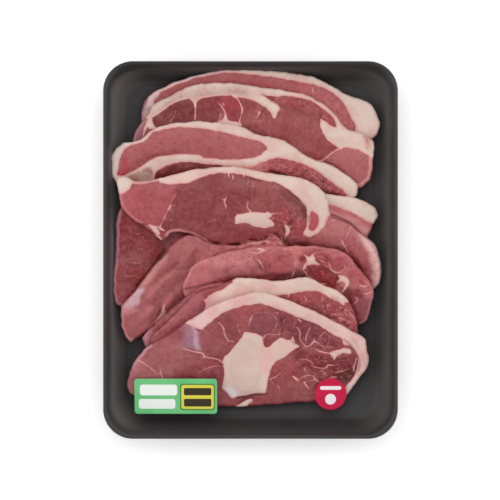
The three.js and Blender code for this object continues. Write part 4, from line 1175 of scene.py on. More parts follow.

# The seventh chop: rolled on itself, with a star and a loop of fat, and a lobe at its right end, dark in its own colour
# and with painted shade at its top and lower edge.
lay_chop(
    "chop_07", 7, {"lean": ["chop_07_lean"]}, (182, 106, 110), grain=-8, crumple=0.7,
    tints=[
        ((196, 120, 122), 3, [-40, -4, -10, 0, 4, -1, 2, -12, -30, -14]),
        ((170, 88, 93), 3, [8, -4, 28, -3, 30, -18, 10, -20]),
        ((172, 86, 91), 3.5, [24, -4, 34, -3, 36, -14, 26, -17]),
        ((208, 122, 122), 2, [33, 2, 41, 1.6, 41.6, -6, 37, -14, 34, -12, 35, -4]),
        ((190, 112, 114), 3.5, [-58, -30, -46, -13, -36, -9, -32, -22, -44, -31]),
        # Painted shade along the lower edge, over the next chop's fat, in this tint and the next.
        ((124, 60, 63), 2.5, [-32, -27, -22, -22, 0, -20, 34, -20, 34, -28, 0, -27, -24, -32]),
        ((92, 34, 34), 2.4, [35, -16.6, 41, -15.6, 45, -17, 47, -23, 40, -24, 33, -26, 22, -25, 24, -20.6]),
        ((136, 54, 60), 2.5, [46, -12, 58, -12, 70, -17, 72, -26, 68, -31, 56, -27, 48, -21]),
        ((158, 70, 76), 2, [42, -3, 60, -1, 64, -8, 60, -12, 52, -12]),
        ((126, 40, 46), 1.3, [40.4, -5.4, 45, -5, 44.4, -9, 41, -10]),
        ((176, 92, 96), 2.5, [78, -8, 88, -18, 98, -28, 90, -30, 80, -24]),
        # Painted shade at the top of the right lobe.
        ((126, 60, 64), 2, [76, -30, 90, -32, 92, -38, 86, -46, 78, -42]),
        ((142, 78, 82), 2, [84, -40, 98, -40, 98, -56, 89, -64, 83, -54]),
        # Painted shade at the lobe's lower edge.
        ((118, 46, 60), 2, [84, -56, 94, -58, 90, -64, 84, -62]),
        ((168, 84, 90), 2, [64, -4, 76, -6, 77, -16, 70, -19, 64, -14]),
        ((196, 112, 112), 2, [65, -3, 73, -3.6, 72, -5.6, 66, -5]),
    ],
    fat=[
        [
            45, -5.4, 47.4, -5.4, 50.2, -3.6, 52, -6, 53.2, -9, 56.4, -12.2, 52, -11.6, 49, -11.9, 46.4,
            -12.4, 44, -15.2, 43.4, -12.4, 45.6, -9.4,
        ],
        [
            71, -20.4, 76, -21, 79, -23.4, 80.2, -26, 79.2, -29, 77, -32, 74.4, -34, 76, -30.4, 77, -27.6,
            75.8, -26.2, 73, -25.8, 70, -27, 71.4, -24.2, 72, -22.6,
        ],
    ],
    threads=[
        (0.9, [46, -6, 0.9, 43, -3.6, 0.5, 39, -1, 0.3]),
        (1, [44.4, -12, 1, 43.2, -14.6, 0.9, 43, -16.8, 0.5]),
        (0.9, [43.8, -17, 0.4, 45, -19, 0.6, 46.2, -20.8, 0.4]),
        (0.9, [36, -16.4, 0.4, 34.8, -18.6, 0.7, 33.6, -20.6, 0.4]),
        (0.9, [50, -4, 0.6, 54, -2, 0.4, 60, -1.2, 0.4]),
        (0.6, [36, -4, 0.5, 36.6, -10, 0.6, 35, -14, 0.4]),
        (0.9, [-2, -1.4, 0.6, 5, -2.6, 0.9, 10, -1, 0.9, 14, 0.2, 0.5]),
        (1, [6, 1.2, 1, 10, 0, 1.2]),
        (0.9, [27, 0.6, 0.7, 33, 0.4, 0.7]),
        (0.7, [-5.4, -10, 0.8, -1, -7.4, 0.8, 2, -4.6, 0.6]),
        (0.7, [4, -7.4, 0.7, 7, -9, 1, 9, -12, 0.8, 11.4, -15.4, 0.5]),
        (0.5, [-16, -14, 0.4, -11, -11, 0.6, -7, -9, 0.5]),
        (0.5, [-24, -4, 0.5, -12, -3, 0.5]),
        (0.5, [-9.6, -1.8, 0.8, -8, -2.2, 0.4]),
        (0.8, [
            63.4, -10, 0.5, 64.6, -14, 0.8, 67.4, -17.6, 0.8, 72, -18.3, 0.7, 75.4, -16, 0.7, 76.6, -12, 0.5,
        ]),
        (0.6, [66, -4, 0.4, 67, -8, 0.4]),
        (0.7, [56, -8, 0.4, 60, -10, 0.5, 64, -9.6, 0.4]),
        (0.5, [54, -5, 0.4, 60, -6.4, 0.5]),
        (0.9, [88.6, -28.2, 0.5, 91.6, -29.6, 0.9, 95, -28.8, 0.5]),
        (0.9, [92, -24.4, 0.4, 95.6, -27.6, 0.6, 99.4, -31, 0.8]),
        (0.8, [89.6, -35, 0.5, 94, -35.6, 0.8, 98.6, -33.4, 0.6]),
        (0.7, [84.8, -38.4, 0.4, 87, -40.2, 0.6, 84.4, -43.4, 0.6, 81.6, -44.4, 0.4]),
        (0.6, [80, -22, 0.4, 84, -25, 0.4, 88, -26, 0.4]),
        (0.5, [74, -4, 0.4, 78, -6, 0.4]),
        (0.5, [60, -20, 0.4, 57, -17, 0.4]),
        (0.6, [58, -27, 0.6, 60.6, -27.6, 0.9]),
    ],
    clefts=[
        (0.3, [2, -6, 0.8, 6, -10.4, 1.1, 8.6, -15, 0.8]),
        (0.5, [-56, -32, 0.4, -46, -30.4, 0.7, -36, -28.4, 0.9, -28, -26.6, 0.6]),
        (0.35, [45, -13, 0.7, 48, -16, 0.9, 47, -20, 1.1]),
        (0.35, [56, -12.6, 0.7, 62, -16, 0.9, 68, -20, 0.9, 71, -24, 0.8]),
        (0.45, [81.6, -42, 0.8, 83, -48, 1.1, 85, -56, 1.1]),
        (0.25, [-14, -13, 0.8, -20, -18, 0.9]),
        (0.5, [53, -8, 0.5, 55.6, -10, 0.6]),
        (0.35, [71, -27.6, 0.7, 73.6, -31.6, 1]),
        (0.35, [16, -11, 1, 15, -14, 0.8]),
        (0.35, [79, -31, 0.8, 80, -38, 1]),
        (0.4, [62, -6, 0.4, 64, -4, 0.4]),
    ],
    coarse=[
        (0.35, 4, [-40, -2, 0, 2, 40, 2, 40, -12, 0, -18, -40, -14]),
        (0.4, 3, [50, -1, 66, -2, 70, -12, 56, -12]),
        (0.3, 3, [76, -8, 98, -26, 99, -36, 84, -34, 78, -20]),
    ],
    rims=[
        # Painted highlights: a lit ridge at the left end, and the lit top edge.
        ((212, 138, 138), 1.4, [-54, -32, 1, -52, -24, 1, -46, -16, 1, -38, -9, 1]),
        ((204, 126, 128), 0.5, [0, 4, 1, 20, 5, 1, 40, 3, 1, 60, 0, 1, 74, -2, 1, 82, -8, 1]),
        ((176, 120, 128), 1.4, [97, -38, 1, 97, -52, 1, 92, -62, 1]),
    ],
)

# The eighth chop: only a thin lean sliver of its edge shows, between its neighbours.
lay_chop(
    "chop_08", 8, {"lean": ["chop_08_lean"]}, (158, 86, 91), grain=45, crumple=0.4,
    tints=[
        ((188, 130, 141), 2.5, [-90, -68, -86, -78, -80, -76, -78, -68, -82, -64]),
        ((150, 84, 88), 3, [-74, -58, -50, -38, -44, -36, -50, -46, -70, -64]),
    ],
    threads=[
        (0.7, [-79.6, -70, 0.5, -78, -67.4, 0.7, -76, -65.6, 0.4]),
        (0.5, [-70, -58, 0.4, -60, -48, 0.5, -50, -38, 0.4]),
    ],
    clefts=[(0.5, [-84, -66, 0.5, -78, -61, 0.5])],
)

# The ninth chop: a lean edge on the left, a thick fat rim in the middle and ragged muscle on the right.
lay_chop(
    "chop_09", 9, {"lean": ["chop_09_lean"], "fat": ["chop_09_fat"]}, (152, 80, 86), grain=30, crumple=0.4,
    tints=[
        ((166, 80, 84), 2, [30, -34, 58, -33, 59, -41, 44, -42, 30, -38]),
        # Painted shade: darker towards the lower edge, under the front chop.
        ((122, 60, 64), 2.5, [20, -38, 36, -42, 56, -50, 66, -58, 60, -60, 30, -48]),
        ((166, 84, 88), 3, [60, -42, 76, -45, 84, -54, 88, -66, 76, -62, 60, -50]),
        ((168, 96, 102), 3, [-76, -66, -60, -50, -46, -36, -38, -32, -44, -46, -64, -62]),
    ],
    fat=[
        [
            59, -31, 66, -33, 71.4, -32.6, 70, -36, 74, -38.4, 75.6, -42, 76.2, -45, 73, -43.2, 68, -40.2, 63,
            -37.2, 58, -35,
        ],
    ],
    lean=[
        [
            -46, -27, -37.6, -39.4, -33.4, -36.8, -28.4, -33.8, -22.4, -31.6, -17.6, -28, -14.4, -25.4, -20,
            -20, -40, -24,
        ],
        [-48, -54, -36.8, -47, -37.6, -40, -48, -28],
        [
            30.6, -35.6, 34, -35.6, 38, -34.8, 44, -33.4, 50, -33, 56, -33.8, 59, -37, 64, -40.6, 70, -44, 74,
            -47, 60, -52, 36, -46,
        ],
    ],
    threads=[
        (1, [-60, -47.4, 0.4, -56, -44.4, 0.7, -51, -40.6, 0.7, -47, -36.6, 0.8, -44.6, -34.4, 0.5]),
        (0.6, [-78, -69, 0.4, -70, -62, 0.5, -62, -54, 0.5]),
        (0.9, [31, -35, 1.1, 30.4, -38, 0.5]),
        (0.7, [43, -36.6, 0.4, 45, -39.6, 0.6, 44.4, -42, 0.35]),
        (0.7, [58.4, -37, 0.6, 58, -40, 0.6, 57, -42, 0.3]),
        (0.9, [62, -44.6, 0.6, 62.6, -48.4, 0.5]),
        (0.7, [63, -45, 0.4, 67, -46.4, 0.5]),
        (0.9, [65.6, -51.4, 0.5, 70, -52.6, 0.6, 76, -51.8, 0.5]),
        (0.9, [71.6, -54.8, 0.7, 74.6, -56.4, 0.6]),
        (0.8, [64.4, -56, 0.5, 68, -57, 0.5]),
        (0.7, [72, -46, 0.4, 78, -49, 0.4]),
        (0.8, [80, -50, 0.5, 84, -56, 0.6, 86.4, -62, 0.4]),
        (0.6, [70, -60, 0.5, 76, -60.6, 0.4]),
        (0.7, [76, -56, 0.4, 80, -58, 0.5]),
        (0.5, [38, -44, 0.4, 42, -43, 0.3]),
        (0.5, [48.6, -44, 0.3, 49, -47, 0.3]),
    ],
    clefts=[
        (0.5, [60, -43, 0.4, 61, -48, 0.5, 64, -52, 0.5]),
        (0.6, [67, -54, 0.5, 70, -56, 0.6]),
        (0.5, [74, -58.6, 0.4, 79, -61, 0.5]),
        (0.5, [76, -46, 0.4, 74, -49.4, 0.5]),
        (0.6, [-66, -50.8, 0.5, -72, -55.6, 0.5, -80, -62.4, 0.6]),
        (0.2, [66, -38.4, 0.8, 70, -39.4, 0.8]),
    ],
    coarse=[
        (0.9, 2, [60, -43, 76, -45, 84, -53, 88, -66, 76, -64, 60, -52]),
        (0.25, 3, [30, -35, 58, -34, 58, -46, 40, -44]),
    ],
    waxes=[
        ((196, 130, 132), 4, [-44, -34, -42, -50, -34, -47, -30, -36]),
        ((222, 176, 172), 5, [-30, -44, -10, -33, 20, -33, 40, -28, 30, -24, 10, -28, -20, -32]),
        ((222, 194, 180), 2.5, [58, -31, 70, -33, 76, -44, 70, -41, 60, -35]),
    ],
)

# The front chop, seen whole: a round leg bone, a fan of muscles, a fat rim and a strip of silverskin.
lay_chop(
    "chop_10", 10,
    {"lean": ["chop_10_lean"], "fat": ["chop_10_fat"], "bone": ["chop_10_bone"], "marrow": ["chop_10_marrow"]},
    (146, 78, 82), grain=-30, crumple=0.2,
    tints=[
        ((161, 96, 99), 6, [
            -100, -112, -96, -92, -82, -79, -62, -70, -52, -80, -44, -92, -60, -104, -84, -116,
        ]),
        ((140, 74, 80), 3, [-64, -98, -40, -92, -24, -93, -24, -108, -50, -106]),
        ((158, 76, 86), 2, [-38, -88, -24, -89, -24, -93, -34, -94]),
        ((152, 84, 88), 3, [-44, -64, -34, -60, -24, -62, -22, -74, -28, -84, -42, -82]),
        ((160, 84, 88), 3.5, [-14, -46, 6, -43, 14, -47, 2, -52, -2, -66, -8, -66, -12, -54]),
        ((142, 80, 86), 2, [2, -52, 12, -50, 20, -54, 21, -62, 12, -67, 0, -66, -2, -59]),
        ((124, 63, 71), 3, [24, -52, 40, -56, 54, -62, 66, -72, 72, -78, 44, -78, 34, -70, 26, -64]),
        ((122, 57, 64), 3, [36, -80, 52, -84, 66, -88, 84, -86, 86, -100, 78, -108, 62, -100, 40, -96]),
        ((96, 40, 46), 2.2, [66, -101, 76, -98, 84, -92, 86, -99, 80, -107, 74, -110, 70, -106]),
        ((148, 70, 74), 3, [18, -92, 30, -88, 40, -92, 34, -104, 18, -102]),
        ((152, 84, 86), 4, [14, -106, 40, -106, 50, -114, 60, -120, 30, -124, 12, -118]),
        ((164, 122, 136), 3.6, [
            -52, -60, -46, -61, -43, -65, -43.6, -70, -42, -76, -43, -82, -47, -81, -52, -79, -58, -79, -55,
            -74, -53, -68,
        ]),
        ((196, 158, 172), 1.8, [-47, -62, -43, -62, -42, -70, -41.6, -80, -45, -79, -46, -70]),
        ((138, 70, 74), 0.9, [
            11, -71, 13, -68.8, 17, -69.4, 22, -70, 19.4, -73.6, 15.4, -78.2, 13, -79, 11, -77,
        ]),
        ((178, 112, 120), 3, [-96, -86, -88, -82, -90, -96, -98, -100]),
    ],
    fat=[
        [
            64, -83.2, 67, -81.6, 72, -80.4, 76, -79.2, 81, -80.6, 81, -83.8, 75, -83.6, 70.4, -85.6, 68, -89,
            66.6, -87,
        ],
        [-12.6, -127.6, -8, -125, -3, -121.8, 0.4, -120.8, 1.4, -123, -2, -125.6, -3, -128, -9, -129],
        [
            75, -76, 81, -77, 85.4, -80.4, 87, -84.6, 87, -92, 85.6, -99, 82, -105.6, 77, -111.6, 80, -116,
            88, -108, 95, -96, 97, -86, 93, -74, 84, -68, 76, -68,
        ],
        [-53, -57.4, -45, -55, -38, -52, -31, -54, -36, -61.6, -40.6, -64.4, -45, -61.8, -50, -60.2],
    ],
    bone=[
        [
            -5, -66, 0, -66.5, 5, -67.5, 9, -69.5, 10, -72, 10.5, -76, 12, -78.8, 15, -78.4, 19, -74.6, 22.5,
            -71.6, 24, -70.4, 27, -71.6, 30, -73, 33, -72, 34.4, -69.4, 34.8, -72, 36, -75.4, 39.8, -78, 36,
            -80, 32, -83, 28, -86.4, 23, -89, 20, -90.6, 17.5, -94, 16, -98, 15, -102, 14, -106, 13.4, -112,
            12, -116.6, 4, -116.4, 0, -117.4, -5, -118.4, -10, -119, -13, -120.8, -16, -120.2, -19, -116, -23,
            -112, -22, -106, -21, -101, -21.6, -96, -23, -91, -21, -86, -18, -84, -14, -79, -10, -74, -7, -70,
        ],
    ],
    threads=[
        (1, [
            -26, -58, 0.4, -22.6, -61.4, 0.7, -21.5, -64, 0.75, -21, -67, 0.65, -19.5, -71, 0.85, -17, -73,
            0.6, -13, -74, 0.4,
        ]),
        (0.7, [-19.4, -72, 0.4, -18.6, -76, 0.3]),
        (0.5, [-10, -56, 0.3, -10, -62, 0.5, -8.6, -66, 0.6]),
        (0.9, [1.2, -52.4, 0.4, 0, -56, 0.7, -1.6, -60, 0.4]),
        (0.5, [22, -51, 0.8, 19, -50, 0.5]),
        (0.6, [
            2, -52, 0.4, 7, -50.4, 0.4, 14, -50.4, 0.4, 19, -53, 0.5, 21.6, -57, 0.5, 20.4, -62, 0.5, 18, -65,
            0.4,
        ]),
        (1, [
            -57, -79, 0.4, -50, -80.8, 0.7, -46, -82, 0.6, -41, -83, 0.9, -38, -84, 0.8, -37, -86, 0.8, -32,
            -87.3, 0.7, -27, -88.3, 0.75, -24, -90, 0.7, -22.6, -92, 0.4,
        ]),
        (0.8, [-41, -87.4, 0.3, -37, -86.8, 0.5]),
        (0.9, [-22.6, -93.4, 0.6, -28, -93.8, 0.5, -33, -95, 0.5, -38, -97, 0.5, -42, -99.4, 0.3]),
        (0.8, [
            -93, -88.6, 1, -88, -90.6, 0.8, -84, -93, 0.7, -80, -96, 0.6, -77.4, -98.6, 0.6, -75, -101, 0.4,
        ]),
        (0.9, [-73, -95.6, 0.3, -72.8, -99, 0.8, -71, -104, 0.7]),
        (0.5, [-44.6, -62, 1, -43.6, -66, 0.8]),
        (0.9, [10.4, -71, 0.6, 13, -68, 0.7, 17, -68, 0.6, 21, -68.4, 0.5, 24, -67.4, 0.6, 27, -67, 0.5]),
        (0.8, [23, -65.6, 0.3, 24, -70.6, 0.7]),
        (1, [
            36.6, -62, 0.5, 39, -64, 0.8, 40, -67, 0.75, 39.8, -72, 0.5, 42, -75, 0.55, 44, -77.5, 0.55, 46,
            -78.2, 0.55, 49, -76.5, 0.7, 51.5, -74, 0.9, 54, -74.8, 0.7, 57, -77, 0.55, 60, -78.2, 0.45, 67,
            -78.6, 0.35,
        ]),
        (0.9, [48.4, -62, 0.4, 46.5, -66, 0.55, 45, -70, 0.55, 44.8, -73.6, 0.5]),
        (0.8, [51.5, -69, 0.3, 51.5, -74, 0.6]),
        (0.8, [60.4, -66, 0.5, 57.5, -68.5, 0.5, 55.4, -71.4, 0.35]),
        (0.7, [60, -66.4, 0.4, 63, -69, 0.45, 64, -72, 0.45, 62.6, -75.4, 0.35]),
        (1, [51.6, -79.2, 0.5, 55, -81.5, 0.65, 60, -83, 0.65, 65, -83.8, 0.7, 68, -85, 0.9]),
        (0.7, [56, -60.4, 0.5, 64, -65, 0.4, 70, -70, 0.4]),
        (0.8, [40, -88.6, 0.4, 44, -88.3, 0.45, 48, -90, 0.5, 51, -92.6, 0.35]),
        (1, [
            49, -93.4, 0.4, 53, -95, 0.55, 58, -95.8, 0.55, 61.5, -95.5, 0.6, 63, -93, 0.7, 67, -93.5, 0.5,
            72, -93, 0.35,
        ]),
        (0.9, [43.4, -95.2, 0.6, 44.6, -98, 0.5, 46.4, -99.8, 0.3]),
        (1, [
            40, -104.2, 0.4, 43, -102.5, 0.55, 47, -101.5, 0.65, 51, -102.5, 0.7, 52, -104.5, 0.9, 54, -106,
            0.8, 56.6, -107.8, 0.4,
        ]),
        (0.9, [34.6, -102.4, 0.9, 37, -104.4, 1.2, 39, -106, 0.5]),
        (1, [43.4, -107.4, 0.8, 45, -109.5, 0.9, 47.4, -112.6, 0.6]),
        (0.8, [43.5, -107.4, 0.5, 47, -106.3, 0.5, 52, -105.5, 0.35]),
        (0.9, [59.6, -100.4, 0.8, 61.4, -99.6, 0.5]),
        (0.9, [62.6, -104.4, 0.4, 67, -103, 0.7, 71.6, -103.6, 0.4]),
        (0.8, [67.6, -99.6, 0.5, 73, -98.5, 0.55, 80, -96.4, 0.35]),
        (0.8, [16, -104.6, 0.8, 20, -103, 0.7, 24, -100, 0.5, 26, -97, 0.3]),
        (0.7, [16.4, -105, 0.5, 18.4, -108.6, 0.5]),
        (0.8, [21.6, -109.6, 0.4, 23.6, -112.4, 0.8]),
        (1, [39, -56, 0.8, 41, -58, 0.5]),
        (0.9, [83.8, -98, 0.6, 84.4, -93, 0.8, 86, -87.6, 0.6]),
        (1, [87, -102, 0.6, 82.4, -108, 0.8, 78, -112.6, 0.8]),
        (0.6, [25.6, -62, 0.3, 27, -57, 0.4, 30, -54, 0.3]),
        (0.6, [36, -58, 0.3, 34, -64, 0.4]),
        (0.5, [30, -69, 0.3, 32, -64, 0.3]),
        (0.6, [52, -88, 0.3, 60, -90, 0.4, 66, -90, 0.3]),
        (0.6, [70, -90, 0.3, 78, -89, 0.4, 84, -86, 0.3]),
        (0.6, [55, -98.4, 0.4, 60, -98, 0.4]),
    ],
    clefts=[
        (0.7, [-24.4, -92.6, 0.8, -22.4, -92.8, 0.5]),
        (0.6, [-44, -64, 0.5, -41, -64.8, 0.6]),
        (0.7, [-12, -120.6, 0.4, -4, -119.6, 0.5, 3, -117.8, 0.6, 8, -117.5, 0.5, 13, -117, 0.4]),
        (0.6, [-10, -125, 0.3, -4, -121.4, 0.6, 2, -120, 0.5]),
        (0.3, [88, -98, 0.7, 88.4, -92, 0.9, 86.6, -85, 0.8, 80, -76, 0.7, 76, -72.6, 0.5]),
        (0.4, [40, -79.4, 0.5, 38, -81, 0.5]),
        (0.45, [24, -71, 0.3, 26, -64, 0.5, 25, -56, 0.4]),
        (0.4, [-28, -86.6, 0.4, -25, -87.6, 0.5]),
        (0.4, [-30, -90, 0.3, -27, -90.4, 0.4]),
        (0.4, [74, -101, 0.5, 80, -104.6, 0.4]),
        (0.35, [33, -73.4, 0.6, 35.6, -76.4, 0.5]),
        (0.35, [56, -62, 0.5, 48, -58.6, 0.5, 40, -55.6, 0.4]),
    ],
    coarse=[
        (0.35, 3, [36, -62, 66, -70, 86, -86, 84, -104, 60, -108, 40, -104, 38, -80]),
        (0.2, 4, [-96, -90, -60, -72, -30, -90, -60, -104]),
    ],
    rims=[
        ((206, 150, 152), 1.4, [-96, -92, 1, -90, -85, 1, -82, -80, 1]),
        ((176, 116, 120), 1.4, [-99, -100, 1, -102, -110, 1, -98, -118, 1]),
    ],
    waxes=[
        ((224, 172, 174), 2.6, [
            -56, -57, -40, -48, -20, -41, 0, -36, 0, -41, -20, -47, -31, -54, -37, -66, -47, -64,
        ]),
        ((222, 172, 166), 4, [70, -64, 84, -66, 96, -80, 92, -102, 80, -116, 84, -96, 84, -80]),
        ((204, 138, 130), 0.9, [
            75, -72, 80, -75, 84.6, -79.6, 87.6, -86, 88.8, -94, 87.8, -101, 86.4, -101, 87, -93, 85.6, -87,
            82.6, -82, 78.6, -78, 75, -75,
        ]),
        ((210, 150, 142), 1, [
            80, -69.6, 86, -74.6, 90.4, -82, 92.2, -90, 91.4, -90.6, 88.4, -83, 84, -76.4, 79, -71.6,
        ]),
        ((222, 180, 174), 3, [20, -38, 50, -48, 76, -66, 70, -68, 40, -54, 14, -44]),
        ((218, 190, 178), 3, [-7, -67, 8, -68, 9, -76, -2, -74, -10, -78]),
        ((222, 176, 168), 2.5, [9, -78, 20, -80, 16, -92, 14, -100, 8, -98, 8, -86]),
        ((224, 200, 188), 2, [9, -103, 13.4, -103, 13, -117, 7, -116]),
        ((219, 184, 174), 3, [20, -75, 30, -74, 38, -78, 26, -87, 18, -88]),
        ((228, 214, 214), 2, [-22, -113, -16, -112, -10, -119, -16, -121]),
    ],
)


# The torn threads
# Where the saw tore the coarse muscles, short loose ends of pale sinew lie on the cut face.
# They are strewn over the upward faces of the coarse meat, thickest where it is most torn, each turned its way.

def torn_face(pieces, least, level=0.6):
    """One sheet of the upward faces whose meat is at least that coarse and that level."""
    points, faces, amounts = [], [], []
    for piece in pieces:
        mesh = piece.data
        amount = read_all(mesh.attributes["coarse"].data, "value", np.float32)
        corner = read_all(mesh.loops, "vertex_index", np.int32).reshape(-1, 4)
        up = read_all(mesh.polygons, "normal", np.float32, 3)[:, 2]
        chosen = corner[(up > level) & (amount[corner].min(1) > least)]
        used, order = np.unique(chosen, return_inverse=True)
        faces.append(order.reshape(-1, 4) + sum(len(p) for p in points))
        points.append(read_all(mesh.vertices, "co", np.float32, 3)[used])
        amounts.append(amount[used])
    sheet = add_mesh("torn_face", np.concatenate(points), np.concatenate(faces).tolist(), meat)
    add_field(sheet.data, "coarse", np.concatenate(amounts))
    return sheet


def thread_tree():
    """Bent threads strewn over a sheet, with the number, length and thickness as named inputs."""
    tree = bpy.data.node_groups.new("torn_threads", "GeometryNodeTree")
    kinds = {
        "Geometry": "Geometry", "Threads per square metre": "Float", "Length": "Float",
        "Half thickness": "Float", "Seed": "Int", "Material": "Material",
    }
    for name, kind in kinds.items():
        tree.interface.new_socket(name, in_out="INPUT", socket_type="NodeSocket" + kind)
    tree.interface.new_socket("Geometry", in_out="OUTPUT", socket_type="NodeSocketGeometry")
    given = tree.nodes.new("NodeGroupInput")
    sheet, number, length, half, seed, material = (Link(tree, given.outputs[name]) for name in kinds)
    link = Link(tree)

    def between(low, high, key):
        """A random number of its own for each thread."""
        given = {2: low, 3: high, "Seed": key}
        return link.node("FunctionNodeRandomValue", {"data_type": "FLOAT"}, given, out=1)

    torn = link.node("GeometryNodeInputNamedAttribute", {"data_type": "FLOAT"}, {"Name": "coarse"})
    strewn = link.node("GeometryNodeDistributePointsOnFaces", None, {
        "Mesh": sheet, "Density": number * torn * torn, "Seed": seed,
    })
    upright = Link(tree, strewn.socket.node.outputs["Rotation"])
    bent = link.node("GeometryNodeCurvePrimitiveBezierSegment", None, {
        "Resolution": 6, "Start": (-0.5, 0, -0.08), "Start Handle": (-0.25, 0.3, 0.12),
        "End Handle": (0.2, -0.3, 0.1), "End": (0.5, 0.05, -0.05),
    })
    long = link.node("GeometryNodeTransform", None, {"Geometry": bent, "Scale": length})
    ring = link.node("GeometryNodeCurvePrimitiveCircle", None, {"Resolution": 5, "Radius": half})
    thread = link.node("GeometryNodeCurveToMesh", None, {
        "Curve": long, "Profile Curve": ring, "Fill Caps": True,
    })
    angle = between(0.0, 2 * math.pi, seed)
    spin = link.node("FunctionNodeAxisAngleToRotation", None, {"Axis": (0, 0, 1), "Angle": angle})
    turn = link.node("FunctionNodeRotateRotation", {"rotation_space": "LOCAL"}, {0: upright, 1: spin})
    laid = link.node("GeometryNodeInstanceOnPoints", None, {
        "Points": strewn, "Instance": thread, "Rotation": turn, "Scale": between(0.45, 1.2, seed + 1),
    })
    plain = link.node("GeometryNodeRealizeInstances", None, {"Geometry": laid})
    done = link.node("GeometryNodeSetMaterial", None, {"Geometry": plain, "Material": material})
    end = tree.nodes.new("NodeGroupOutput")
    link.feed(end.inputs["Geometry"], done)
    return tree


def sinew():
    """Pale pink sinew, a little moist."""
    material, link, shader = new_material("sinew")
    place = link.node("ShaderNodeTexCoord", out="Object")
    patch = link.noise(place, 150.0, 2.0)
    fine = link.noise(place, 1500.0, 2.0)
    look = (patch * 0.7 + fine * 0.3).step(0.35, 0.65).mix(colour(196, 116, 114), colour(224, 168, 160))
    link.feed(shader.inputs["Base Color"], look)
    link.feed(shader.inputs["Roughness"], 0.35 + fine * 0.2)
    shader.inputs["Coat Weight"].default_value = 0.2
    return material


def strew_threads():
    host = torn_face(lean_pieces, 0.3)
    settings = {
        "Threads per square metre": 26000.0, "Length": 0.0027, "Half thickness": 0.00022, "Seed": 12,
        "Material": sinew(),
    }
    tree = thread_tree()
    strewing = host.modifiers.new("torn_threads", "NODES")
    strewing.node_group = tree
    for item in tree.interface.items_tree:
        if item.in_out == "INPUT" and item.name in settings:
            strewing[item.identifier] = settings[item.name]
    mesh = bpy.data.meshes.new_from_object(host.evaluated_get(bpy.context.evaluated_depsgraph_get()))
    mesh.name = "torn_threads"
    mesh.polygons.foreach_set("use_smooth", [True] * len(mesh.polygons))
    piece = add_object("torn_threads", mesh)
    bpy.data.objects.remove(host)
    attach(piece, "root")


strew_threads()


# The stickers
# Two glossy film labels, a green rectangle with a yellow panel and a crimson disc, pressed on the front chop.
# The print is plain: white and dark bars and a dot stand where a pack has its words.

def inside_panel(place, left, right, low, high, radius):
    """1 inside a round-cornered rectangle on the sticker's own millimetres, and 0 outside."""
    x, y, _ = place.parts()
    dx = (abs(x - (left + right) / 2) - ((right - left) / 2 - radius)).most(0.0)
    dy = (abs(y - (low + high) / 2) - ((high - low) / 2 - radius)).most(0.0)
    away = place.maths("SQRT", dx * dx + dy * dy)
    return 1.0 - away.step(radius - 0.12, radius + 0.12)


def sticker_film(name, ground, prints):
    """Printed film: a faintly cloudy ground, with round-cornered panels laid on it in turn."""
    material, link, shader = new_material(name)
    sheet = link.field("sheet", "Vector")
    place = link.node("ShaderNodeTexCoord", out="Object")
    speck = link.noise(place, 2600.0, 2.0)
    cloud = link.noise(place, 55.0, 2.0)
    look = cloud.step(0.3, 0.7).mix(*ground)
    for panel, tint in prints:
        look = inside_panel(sheet, *panel).mix(look, tint)
    look = ((0.42 - speck).step(0.0, 0.2) * 0.12).mix(look, colour(40, 40, 40))
    link.feed(shader.inputs["Base Color"], look)
    link.feed(shader.inputs["Roughness"], 0.26 + speck * 0.14)
    link.feed(shader.inputs["Normal"], link.bump(0.15, 0.0002, cloud * 0.8 + speck * 0.2))
    shader.inputs["Specular IOR Level"].default_value = 0.25
    shader.inputs["Coat Weight"].default_value = 0.15
    shader.inputs["Coat Roughness"].default_value = 0.12
    return material


def sticker(name, node, material, ring_at):
    """A thin disc or panel of rings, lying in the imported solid's plane, with a rounded edge."""
    corners = np.array([v.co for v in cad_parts[node].data.vertices]) * 1000
    centre = 0.5 * (corners.min(0) + corners.max(0))
    fit = np.c_[corners[:, :2] - centre[:2], np.ones(len(corners))]
    plane = np.linalg.lstsq(fit, corners[:, 2], rcond=None)[0]
    thick = max(0.5 * np.abs(corners[:, 2] - fit @ plane).max(), 0.2)
    # Each ring has a size and a height: out along the underside, and back over the top.
    spread = [(size, 1) for size in (0.12, 0.3, 0.5, 0.7, 0.85, 0.94, 0.985)] + [(1.0, 0.35)]
    layers = [(size, -lift) for size, lift in spread] + [(size, lift) for size, lift in reversed(spread)]
    count = len(ring_at(1.0))
    u, v = np.concatenate([ring_at(size) for size, _ in layers]).T
    lift = thick * np.repeat([lift for _, lift in layers], count)
    height = np.c_[u, v, np.ones(len(u))] @ plane + lift
    points = np.stack([centre[0] + u, centre[1] + v, height], -1) / 1000
    piece = add_mesh(name, points, ring_faces(len(layers), count), material)
    add_field(piece.data, "sheet", np.stack([u, v, np.zeros(len(u))], -1))
    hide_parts(node)
    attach(piece, "root")


def panel_ring(size, half_x=33.5, half_y=14.5, radius=2.6, steps=8):
    return size * np.concatenate(corner_arcs(half_x, half_y, radius, steps))


def disc_ring(size, radius=13.0, count=64):
    angle = np.arange(count) * 2 * math.pi / count
    return size * radius * np.stack([np.cos(angle), np.sin(angle)], -1)


# Each print is a panel's left, right, low and high side and corner radius, in millimetres, and its colour.
green_film = sticker_film(
    "green_sticker_film", (colour(102, 190, 121), colour(116, 200, 132)),
    [
        ((3.5, 31.8, -11.4, 10.4, 2.4), colour(62, 128, 58)),
        ((4.5, 30.8, -10.4, 9.4, 2.0), colour(222, 212, 72)),
        ((-29, 1.2, 0.8, 9.6, 2.2), colour(244, 247, 242)),
        ((-30, -0.4, -10.2, -2.2, 2.0), colour(240, 244, 238)),
        ((6.6, 28.8, 0.9, 6.9, 1.2), colour(52, 44, 22)),
        ((6.6, 28.8, -8.4, -2.0, 1.2), colour(52, 44, 22)),
    ],
)
sticker("label_panel_film", "label_panel", green_film, panel_ring)

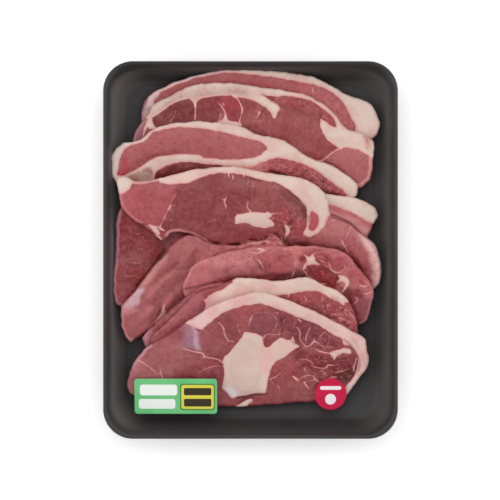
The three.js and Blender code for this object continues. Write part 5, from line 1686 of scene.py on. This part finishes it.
red_film = sticker_film(
    "red_sticker_film", (colour(194, 6, 56), colour(206, 14, 70)),
    [
        ((-8.6, 8.6, 3.6, 6.6, 1.4), colour(244, 236, 238)),
        ((-4.4, 4.4, -8.6, 0.2, 4.3), colour(244, 236, 238)),
    ],
)
sticker("label_round_film", "label_round", red_film, disc_ring)


# The studio
# A pale floor under the tray, a broad soft light overhead towards the back and a smaller one at each side.
# The camera is straight above the tray.

def studio():
    scene = bpy.context.scene
    material, link, shader = new_material("pale_floor")
    place = link.node("ShaderNodeTexCoord", out="Object")
    pale = link.noise(place, 3.0).mix(colour(248, 248, 248), colour(252, 252, 252))
    link.feed(shader.inputs["Base Color"], pale)
    shader.inputs["Roughness"].default_value = 0.8
    shader.inputs["Emission Color"].default_value = (1, 1, 1, 1)
    shader.inputs["Emission Strength"].default_value = 0.26
    corners = [(-3, -3, 0), (3, -3, 0), (3, 3, 0), (-3, 3, 0)]
    add_mesh("floor", corners, [(0, 1, 2, 3)], material, smooth=False)
    world = bpy.data.worlds.new("studio")
    world.use_nodes = True
    background = world.node_tree.nodes["Background"]
    background.inputs[0].default_value = (1, 1, 1, 1)
    background.inputs[1].default_value = 0.72
    scene.world = world
    for name, spot, size, power in (
        ("over_back", (0.0, 1.0, 2.0), 1.8, 11.0),
        ("over_left", (-1.6, 0.1, 1.3), 1.4, 6.0),
        ("over_right", (1.6, 0.1, 1.3), 1.4, 5.0),
    ):
        light = bpy.data.lights.new(name, "AREA")
        light.size = size
        light.energy = power
        lamp = add_object(name, light)
        lamp.location = spot
        lamp.rotation_euler = (-Vector(spot)).to_track_quat("-Z", "Y").to_euler()
    rim_height, distance, width_seen, aside = 0.032, 2.0, 0.4034, -0.0004
    lens = bpy.data.cameras.new("camera")
    lens.sensor_width = 36
    lens.lens = lens.sensor_width * distance / width_seen
    camera = add_object("camera", lens)
    camera.location = (aside, 0, rim_height + distance)
    scene.camera = camera
    scene.view_settings.view_transform = "Standard"
    scene.view_settings.look = "None"


studio()
